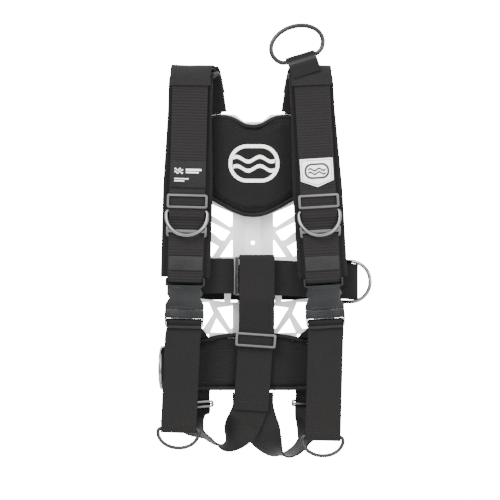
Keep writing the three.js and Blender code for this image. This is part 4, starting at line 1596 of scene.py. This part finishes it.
@dataclass
class Badges:
    """The woven label on one strap and the pentagon badge on the other."""

    z: float = 112.0
    thick: float = 1.0

    @property
    def face(self) -> float:
        """The y of a badge's front."""
        return SIZE.web_y - SIZE.half_thick - CLEAR - self.thick

    def on_strap(self, mesh: bmesh.types.BMesh, side: SideSizes) -> bmesh.types.BMesh:
        """Move a shape drawn about its own middle onto a strap."""
        return placed(mesh, Matrix.Translation((side.strap_x(self.z), 0, self.z)),
                      Matrix.Rotation(side.tilt, 4, "Y"))

    def wave(self, x0: float, x1: float, z: float, half: float, rise: float) -> bmesh.types.BMesh:
        """One printed wave, from x0 to x1 about height z."""
        xs = [x0 + (x1 - x0) * i / 24 for i in range(25)]
        top = [(x, z + half + rise * math.sin((x - x0) * 4 * math.pi / (x1 - x0))) for x in xs]
        bottom = [(x, h - 2 * half) for x, h in reversed(top)]
        return polygon_plate(top + bottom, self.face - 0.25, self.face + 0.1)

    def build(self) -> None:
        """Make both badges with their generic print."""
        left, right = Side.LEFT.value, Side.RIGHT.value
        softened_copy("label_patch_cloth", "label_patch", LABEL_FABRIC, ROOT, 0.3)
        bars = [self.wave(-19, -7, 6.5, 0.8, 1.5), self.wave(-19, -7, 2.5, 0.8, 1.5)]
        for x0, x1, z, half in ((-3, 19, 6.3, 1.3), (-3, 15, 2.6, 1.0), (-19, 1, -6.5, 0.7),
                                (-19, -5, -9.6, 0.7)):
            bars.append(polygon_plate([(x0, z - half), (x1, z - half), (x1, z + half),
                                       (x0, z + half)], self.face - 0.25, self.face + 0.1))
        finished("label_patch_print", self.on_strap(merged(bars), left), PRINT, ROOT)
        softened_copy("badge_patch_cloth", "badge_patch", PRINT, ROOT, 0.3)
        half = SIZE.web / 2 - 2

        def shield(inset: float) -> list[tuple[float, float]]:
            h = half - inset
            return [(-h, 22 - inset), (-h, -9 + inset * 0.4), (0, -18 + inset * 1.1),
                    (h, -9 + inset * 0.4), (h, 22 - inset)]

        border = ribbon_ring(shield(1.8), shield(2.8), self.face - 0.25, self.face + 0.1)
        finished("badge_patch_border", self.on_strap(border, right), GREY_PRINT, ROOT)
        frame_ring = ribbon_ring(stadium(35, 22, 10), stadium(29.5, 16.5, 8), self.face - 0.25,
                                 self.face + 0.1)
        bmesh.ops.translate(frame_ring, verts=frame_ring.verts, vec=(0, 0, 4.5))
        marks = [frame_ring, self.wave(-12.5, 12.5, 6.6, 1.25, 1.6),
                 self.wave(-12.5, 12.5, 1.6, 1.25, 1.6)]
        finished("badge_patch_mark", self.on_strap(merged(marks), right), BLACK_PRINT, ROOT)


# ------------------------------------------------------------------ buckles and tails


@dataclass
class ReleaseBuckle:
    """A side-release buckle: socket, plug and two spring arms."""

    side: SideSizes
    plug_band: float = -44.35
    half_thick: float = 6.5

    def build(self) -> None:
        """Mould the buckle's pieces."""
        word = self.side.word
        softened_copy(f"buckle_socket_{word}_shell", f"buckle_socket_{word}", ACETAL, ROOT,
                      bevel=0.9, segments=3)
        softened_copy(f"buckle_plug_{word}_shell", f"buckle_plug_{word}", ACETAL, ROOT,
                      bevel=0.8, segments=3)
        for tag in ("l", "r"):
            node = f"buckle_arm_{word}_{tag}"
            softened_copy(f"{node}_spring", node, ACETAL, node, bevel=0.7, segments=3)
        face = SIZE.buckle_y - self.half_thick
        ribs = []
        for step in range(3):
            z = self.plug_band - 2.6 - step * 2.6
            ribs.append(self.ridge(-19, 19, z, 0.7, face))
        ribs.append(self.ridge(-16, 16, -14.2, 0.6, face))
        ribs.append(self.ridge(-20, 20, -41.2, 0.9, face))
        mesh = placed(merged(ribs),
                      Matrix.Translation((self.side.strap_x(SIZE.buckle_top), 0, SIZE.buckle_top)),
                      Matrix.Rotation(self.side.tilt, 4, "Y"))
        finished(f"buckle_{word}_ribs", mesh, ACETAL, ROOT)

    def ridge(self, x0: float, x1: float, z: float, half: float, face: float) -> bmesh.types.BMesh:
        """A raised rib across the buckle's face.

        Args:
            x0: its left end.
            x1: its right end.
            z: its height.
            half: half its width.
            face: the y that it stands on.

        Returns:
            The rib, its edges rounded.
        """
        mesh = polygon_plate([(x0, z - half), (x1, z - half), (x1, z + half), (x0, z + half)],
                             face - 0.6, face + 0.2)
        bmesh.ops.bevel(mesh, geom=mesh.edges[:], offset=0.25, offset_type="OFFSET", segments=2,
                        profile=0.5, affect="EDGES", material=-1)
        return mesh


@dataclass
class Adjuster:
    """The webbing through the plug, its hanging tail and the pull ring in its fold."""

    side: SideSizes
    slot_x: float = 89.0
    slot_z: float = -118.0
    ring_drop: float = 27.0
    bar_z: float = -94.55
    tail_y: float = -69.95

    def build(self) -> None:
        """Make the webbing, its ring and its stitching."""
        side, word = self.side, self.side.word
        rear = SIZE.behind_plate(self.slot_x - SIZE.web / 2)
        front = SIZE.before_plate(self.slot_x + SIZE.web / 2) - 3
        stand, face = SIZE.buckle_y + 4.6, SIZE.buckle_y - 2.1
        over, hip_x = self.bar_z + 2.6, side.dir * self.slot_x
        fold = side.tail_end + SIZE.half_thick
        fold_y = self.tail_y + SIZE.wire + 3 * CLEAR + SIZE.web_thick
        rise = fold + 3
        in_plug = [(stand, self.bar_z - 10), (stand, over), (face, over),
                   (face, self.bar_z - 1.5), (self.tail_y, self.bar_z - 5.6),
                   (self.tail_y, self.bar_z - 13)]
        upper = route([vec(hip_x, rear, self.slot_z - 22), vec(hip_x, rear, self.slot_z),
                       vec(hip_x, front, self.slot_z),
                       *[vec(side.strap_x(z), y, z) for y, z in in_plug]], 2.6)
        tail_x = side.tail_x(fold)
        lower = route([vec(side.tail_x(-118), self.tail_y, -118), vec(tail_x, self.tail_y, fold),
                       vec(tail_x, fold_y, fold), vec(tail_x, fold_y, rise + SIZE.wire),
                       vec(tail_x, self.tail_y + 2.85, rise + 14)], 3.6)

        def across(share: float) -> Vector:
            turned = min(1.0, max(0.0, (share - 0.4) / 0.15))
            return leaning(side.tilt + (side.tail_tilt - side.tilt) * turned)

        node = f"adjuster_webbing_{word}"
        tail = strap_piece(f"{node}_weave", upper + lower, across, FLAT_WEB, node,
                           pitch=1.6, ripple=0.25)
        ring = placed(
            d_ring(SIZE.ring_half, self.ring_drop, SIZE.wire),
            Matrix.Translation((tail_x, (self.tail_y + fold_y) / 2,
                                fold + SIZE.half_thick + 2.5 * CLEAR + SIZE.wire / 2)),
            Matrix.Rotation(side.tail_tilt, 4, "Y"),
        )
        finished(f"pull_ring_{word}_wire", ring, DARK_STEEL, f"pull_ring_{word}",
                 (f"pull_ring_{word}",), smooth=60.0)
        surface = Surface(tail)
        rows = []
        for height in (rise + 11.0, rise + 7.5):
            x = side.tail_x(height)
            ends = [vec(x - 22, self.tail_y, height + 0.8 * side.dir),
                    vec(x + 22, self.tail_y, height - 0.8 * side.dir)]
            rows.append(stitches(ends, surface))
        finished(f"adjuster_stitching_{word}", merged(rows), STITCH, ROOT, smooth=80.0)


# ------------------------------------------------------------------ waist belt


@dataclass
class WaistBelt:
    """Both halves of the belt, the band between them, its buckle and the hip rings."""

    z: float = -31.0
    front: float = -47.0
    rear: float = -34.0
    slot_x: float = 100.0
    split: float = -18.0
    band_z: float = -41.0
    reach: float = 46.0

    def build(self) -> None:
        """Make the belt and everything on it."""
        for side in Side:
            self.build_half(side.value)
        behind = SIZE.behind_plate(SIZE.ridge_foot + 1)
        before = SIZE.wing_front(SIZE.ridge_foot) - CLEAR
        half = [(21.5, before), (29, behind), (82, behind)]
        points = [(-x, y) for x, y in reversed(half)] + half
        line = route([vec(x, y, self.band_z) for x, y in points], 6)
        strap_piece("waist_band_weave", line, lambda _: vec(0, 0, 1), FLAT_WEB,
                    "waist_band_rear", pitch=2.0, ripple=0.1)
        for node in ("belt_buckle_frame", "belt_buckle_pin"):
            softened_copy(f"{node}_steel", node, STEEL, ROOT, bevel=0.5)
        softened_copy("belt_buckle_lever_steel", "belt_buckle_lever", STEEL, "belt_buckle_lever",
                      bevel=0.4)
        self.build_rings()

    def build_half(self, side: SideSizes) -> None:
        """Make one half of the belt.

        Args:
            side: which half.
        """
        start = side.dir * (self.slot_x - 16)
        behind = SIZE.behind_plate(self.slot_x - 16)
        slot, out = side.dir * self.slot_x, side.dir * (side.belt_out - SIZE.half_thick)
        low = self.z - side.belt_drop
        line = route([vec(start, behind, self.z), vec(slot, behind, self.z),
                      vec(slot, self.rear, self.z), vec(out, self.rear, low),
                      vec(out, self.front, low), vec(self.split + side.dir * 2, self.front, self.z)],
                     4.5)
        node = f"waist_belt_{side.word}"
        strap_piece(f"{node}_weave", line, lambda _: vec(0, 0, 1), FLAT_WEB, node,
                    pitch=2.0, ripple=0.25)

    def build_rings(self) -> None:
        """Bend the two hip rings."""
        right = placed(
            d_ring(SIZE.ring_half, self.reach, SIZE.wire),
            Matrix.Translation((122.0, self.front + SIZE.half_thick + CLEAR + SIZE.wire / 2,
                                self.z - Side.RIGHT.value.belt_drop + 1)),
            Matrix.Rotation(-math.radians(20), 4, "Z"), Matrix.Rotation(-math.pi / 2, 4, "Y"),
        )
        finished("hip_ring_right_wire", right, STEEL, "hip_ring_right",
                 ("hip_ring_right",), smooth=60.0)
        left = placed(
            d_ring(SIZE.ring_half, self.reach - 5, SIZE.wire),
            Matrix.Translation((-127.3, -34.33, -161.0)),
            Matrix.Rotation(math.pi / 2 - 0.08, 4, "Z"), Matrix.Rotation(math.pi / 2, 4, "Y"),
        )
        finished("hip_ring_left_wire", left, STEEL, "hip_ring_left",
                 ("hip_ring_left",), smooth=60.0)


# ------------------------------------------------------------------ crotch and legs


@dataclass
class CrotchStrap:
    """The strap looped over the belt, its slider and the two leg straps."""

    x: float = 5.5
    lean: float = 0.07
    lean_from: float = -100.0
    back: float = -44.0
    rear_top: float = -43.0
    front: float = -66.0
    top: float = -2.25
    bottom: float = -222.0
    slider_z: float = -122.0
    slider_half: float = 9.75
    leg_end_x: float = 85.0
    leg_slider_z: float = -218.0
    leg_steps: int = 216
    leg_turn: float = 0.8

    def middle(self, z: float) -> float:
        """The strap's middle at a height."""
        return self.x + min(0.0, z - self.lean_from) * self.lean

    def build(self) -> None:
        """Make the strap, its slider, both leg straps and their fittings."""
        inner = self.back - SIZE.web_thick - SIZE.bar - 2 * CLEAR
        low = self.slider_z - self.slider_half
        stops = [(self.middle(self.bottom), self.back, self.bottom),
                 (self.x, self.back, -100), (self.x, self.back, -60), (self.x, self.rear_top, -52),
                 (self.x, self.rear_top, self.top), (self.x, self.front, self.top),
                 (self.x, self.front, -66), (self.middle(-108), inner, -108),
                 (self.middle(low), inner, low)]
        line = route([vec(*stop) for stop in stops], 3.6)
        strap = strap_piece("crotch_strap_weave", line, lambda _: vec(1, 0, 0), FLAT_WEB,
                            "crotch_strap", pitch=1.8, ripple=0.3)
        softened_copy("crotch_slider_steel", "crotch_slider", STEEL, ROOT, 0.85, 3)
        surface = Surface(strap)
        seam = [[vec(-18, self.back, z), vec(16, self.back, z)] for z in (-206.0, -209.5)]
        finished("crotch_stitching", merged([stitches(row, surface) for row in seam]), STITCH,
                 ROOT, smooth=80.0)
        for side in Side:
            self.build_leg(side.value)

    def build_leg(self, side: SideSizes) -> None:
        """Make one leg strap with its slider and screw.

        Args:
            side: which leg.
        """
        way, end_x = side.dir, side.dir * self.leg_end_x
        rear = SIZE.behind_plate(self.leg_end_x - SIZE.web / 2) + CLEAR
        knots = [(way * 4, side.leg_start, -197), (way * 5, side.leg_start, -221),
                 (way * (side.leg_in + 8), side.leg_start - 1, side.leg_low + 24),
                 (way * 42, -39, side.leg_low + 2), (way * 65, -34, side.leg_low + 12),
                 (way * side.leg_x, -27, -240),
                 (way * (side.leg_x + 2), rear + 2, self.leg_slider_z),
                 (way * (side.leg_x + 3), rear, -202), (end_x, rear, -184), (end_x, rear, -164)]
        line = smooth_route([vec(*knot) for knot in knots], self.leg_steps)
        row = next(i for i, point in enumerate(line)
                   if i > self.leg_steps * 0.6 and point.z > self.leg_slider_z)
        share = row / self.leg_steps
        turns = [(0.0, 0.0), (0.2, 0.0), (0.42, self.leg_turn), (share - 0.22, self.leg_turn),
                 (share - 0.04, 0.06), (share, 0.0), (1.0, 0.0)]

        def across(at: float) -> Vector:
            place = next((i for i in range(1, len(turns)) if turns[i][0] >= at), len(turns) - 1)
            (a, start), (b, end) = turns[place - 1], turns[place]
            angle = (start + (end - start) * (at - a) / (b - a)) * math.pi / 2
            return Vector((-way * math.cos(angle), way * math.sin(angle), 0.0))

        node = f"leg_strap_{side.word}"
        strap_piece(f"{node}_weave", line, across, FLAT_WEB, node, pitch=2.0, ripple=0.3)
        for node in (f"leg_slider_{side.word}", f"leg_screw_{side.word}"):
            softened_copy(f"{node}_steel", node, STEEL, ROOT, bevel=0.6)


# ------------------------------------------------------------------ ring over the shoulder


@dataclass
class TopRing:
    """The black oval ring over one shoulder and the webbing tab that holds it."""

    x: float = 67.7
    y: float = -51.0
    z: float = 277.0
    half_width: float = 37.5
    half_height: float = 27.0
    seat: float = 19.0
    wire: float = 6.4
    tilt: float = math.radians(17)
    tab_front: float = -25.2

    def place(self) -> tuple[Matrix, Matrix]:
        """Where the ring and its tab stand."""
        return (Matrix.Translation((self.x, self.y, self.z)),
                Matrix.Rotation(-self.tilt, 4, "Y"))

    def build(self) -> None:
        """Bend the ring and weave its tab."""
        angle = math.asin(self.seat / self.half_height)
        bar = self.half_width * math.cos(angle)
        first = angle - 0.3
        side = vec(self.half_width * math.cos(first), 0,
                   self.seat - self.half_height * math.sin(first))
        line = [vec(bar - 6, 0, 0), vec(-bar + 6, 0, 0)]

        def bend(start: Vector, knee: Vector, end: Vector) -> None:
            for step in range(1, 13):
                t = step / 12
                line.append(start * (1 - t) ** 2 + knee * 2 * t * (1 - t) + end * t * t)

        bend(line[-1], vec(-bar - 2, 0, 0), vec(-side.x, 0, side.z))
        sweep_angle = math.pi + 2 * first
        for step in range(1, 73):
            turn = math.pi + first - sweep_angle * step / 72
            line.append(vec(self.half_width * math.cos(turn), 0,
                            self.seat + self.half_height * math.sin(turn)))
        bend(line[-1], vec(bar + 2, 0, 0), vec(bar - 6, 0, 0))
        even = respaced(line, 2.4)[:-1]
        ring = sweep(even, lambda _: Vector((0, 1, 0)), lambda _: round_section(self.wire),
                     closed=True)
        finished("top_ring_wire", placed(ring, *self.place()), DARK_STEEL, "top_ring",
                 ("top_ring",), smooth=60.0)
        half = self.wire / 2 + 2 * CLEAR + 1
        corners = [(self.tab_front - 0.6, -26), (self.tab_front - 0.6, -8.5), (-half, -1),
                   (-half, half), (half, half), (half, -3.4)]
        whole = self.place()[0] @ self.place()[1]
        tab = [whole @ vec(0, y, z) for y, z in route_plane(corners)]
        strap_piece("top_ring_tab_weave", tab, lambda _: leaning(-self.tilt), FLAT_WEB,
                    "top_ring_tab", width=42.0, thick=2.0, pitch=1.2, ripple=0.1)


def route_plane(corners: Sequence[tuple[float, float]]) -> list[tuple[float, float]]:
    """Round the corners of a line drawn in Y and Z."""
    line = route([vec(0, y, z) for y, z in corners], 3.0)
    return [(point.y, point.z) for point in line]


# ------------------------------------------------------------------ studio


@dataclass
class Studio:
    """The camera, the pale floor far below the hanging harness, and soft light."""

    middle_x: float = -4.2
    middle_z: float = 5.6
    distance: float = 3000.0
    framed: float = 705.0
    floor_drop: float = 330.0
    floor_half: float = 1000.0
    key: float = 60.0
    fill: float = 34.0
    world: float = 3.2
    ground: float = 0.9
    backdrop: float = 18.0

    def build_camera(self) -> None:
        """Stand the camera level, straight in front of the harness."""
        data = bpy.data.cameras.new("camera")
        data.sensor_width = 36.0
        data.lens = 36.0 * self.distance / self.framed
        camera = bpy.data.objects.new("camera", data)
        camera.location = vec(self.middle_x, -60 - self.distance, self.middle_z) * MM
        camera.rotation_euler = (math.radians(90), 0.0, 0.0)
        bpy.context.scene.collection.objects.link(camera)
        bpy.context.scene.camera = camera

    def build_floor(self) -> None:
        """Lay the floor."""
        mesh = bmesh.new()
        bmesh.ops.create_grid(mesh, x_segments=4, y_segments=4, size=self.floor_half * MM)
        bmesh.ops.translate(mesh, verts=mesh.verts,
                            vec=(0, 0, CAD_LOW.z - self.floor_drop * MM))
        data = bpy.data.meshes.new("floor")
        mesh.to_mesh(data)
        mesh.free()
        data.materials.append(Moulded("floor_paint", (0.85, 0.85, 0.85), 0.7, scuff=1.02).material())
        floor = bpy.data.objects.new("floor", data)
        bpy.context.scene.collection.objects.link(floor)

    def light(self, name: str, where: Vector, size: float, power: float) -> None:
        """Hang a soft light that faces the harness.

        Args:
            name: the light's name.
            where: its place, in metres.
            size: the side of its square, in metres.
            power: its power in watts.
        """
        data = bpy.data.lights.new(name, "AREA")
        data.shape = "SQUARE"
        data.size = size
        data.energy = power
        lamp = bpy.data.objects.new(name, data)
        lamp.location = where
        lamp.rotation_euler = (-where).to_track_quat("-Z", "Y").to_euler()
        bpy.context.scene.collection.objects.link(lamp)

    def build(self) -> None:
        """Set up the camera, the floor and the lights."""
        self.build_camera()
        self.build_floor()
        world = bpy.data.worlds.new("studio")
        world.use_nodes = True
        nodes = Nodes(world.node_tree)
        sky = world.node_tree.nodes["Background"]
        sky.inputs["Color"].default_value = (1.0, 1.0, 1.0, 1.0)
        split = nodes.add("ShaderNodeSeparateXYZ")
        nodes.link(nodes.add("ShaderNodeTexCoord").outputs["Generated"], split.inputs[0])
        height = nodes.add("ShaderNodeMapRange", interpolation_type="SMOOTHSTEP")
        for label, value in (("From Min", -0.7), ("From Max", 0.8), ("To Min", self.ground),
                             ("To Max", self.world)):
            height.inputs[label].default_value = value
        nodes.link(split.outputs[2], height.inputs["Value"])
        seen = nodes.add("ShaderNodeLightPath").outputs["Is Camera Ray"]
        shown = nodes.math("MULTIPLY_ADD", seen, self.backdrop, height.outputs[0])
        nodes.link(shown, sky.inputs["Strength"])
        bpy.context.scene.world = world
        self.light("key", Vector((-0.9, -1.6, 1.3)), 0.9, self.key)
        self.light("fill", Vector((1.3, -1.5, 0.2)), 1.0, self.fill)
        self.light("rear", Vector((0.4, 1.6, 0.9)), 1.0, self.fill)


def main() -> None:
    """Build the camera, then every sub-assembly in order."""
    logging.basicConfig(level=logging.INFO, format="%(name)s: %(message)s")
    Studio().build()
    Backplate().build()
    BackPad().build()
    LumbarPad().build()
    for side in Side:
        ShoulderStrap(side.value).build()
        ReleaseBuckle(side.value).build()
        Adjuster(side.value).build()
    Badges().build()
    WaistBelt().build()
    CrotchStrap().build()
    TopRing().build()


if __name__ == "__main__":
    main()
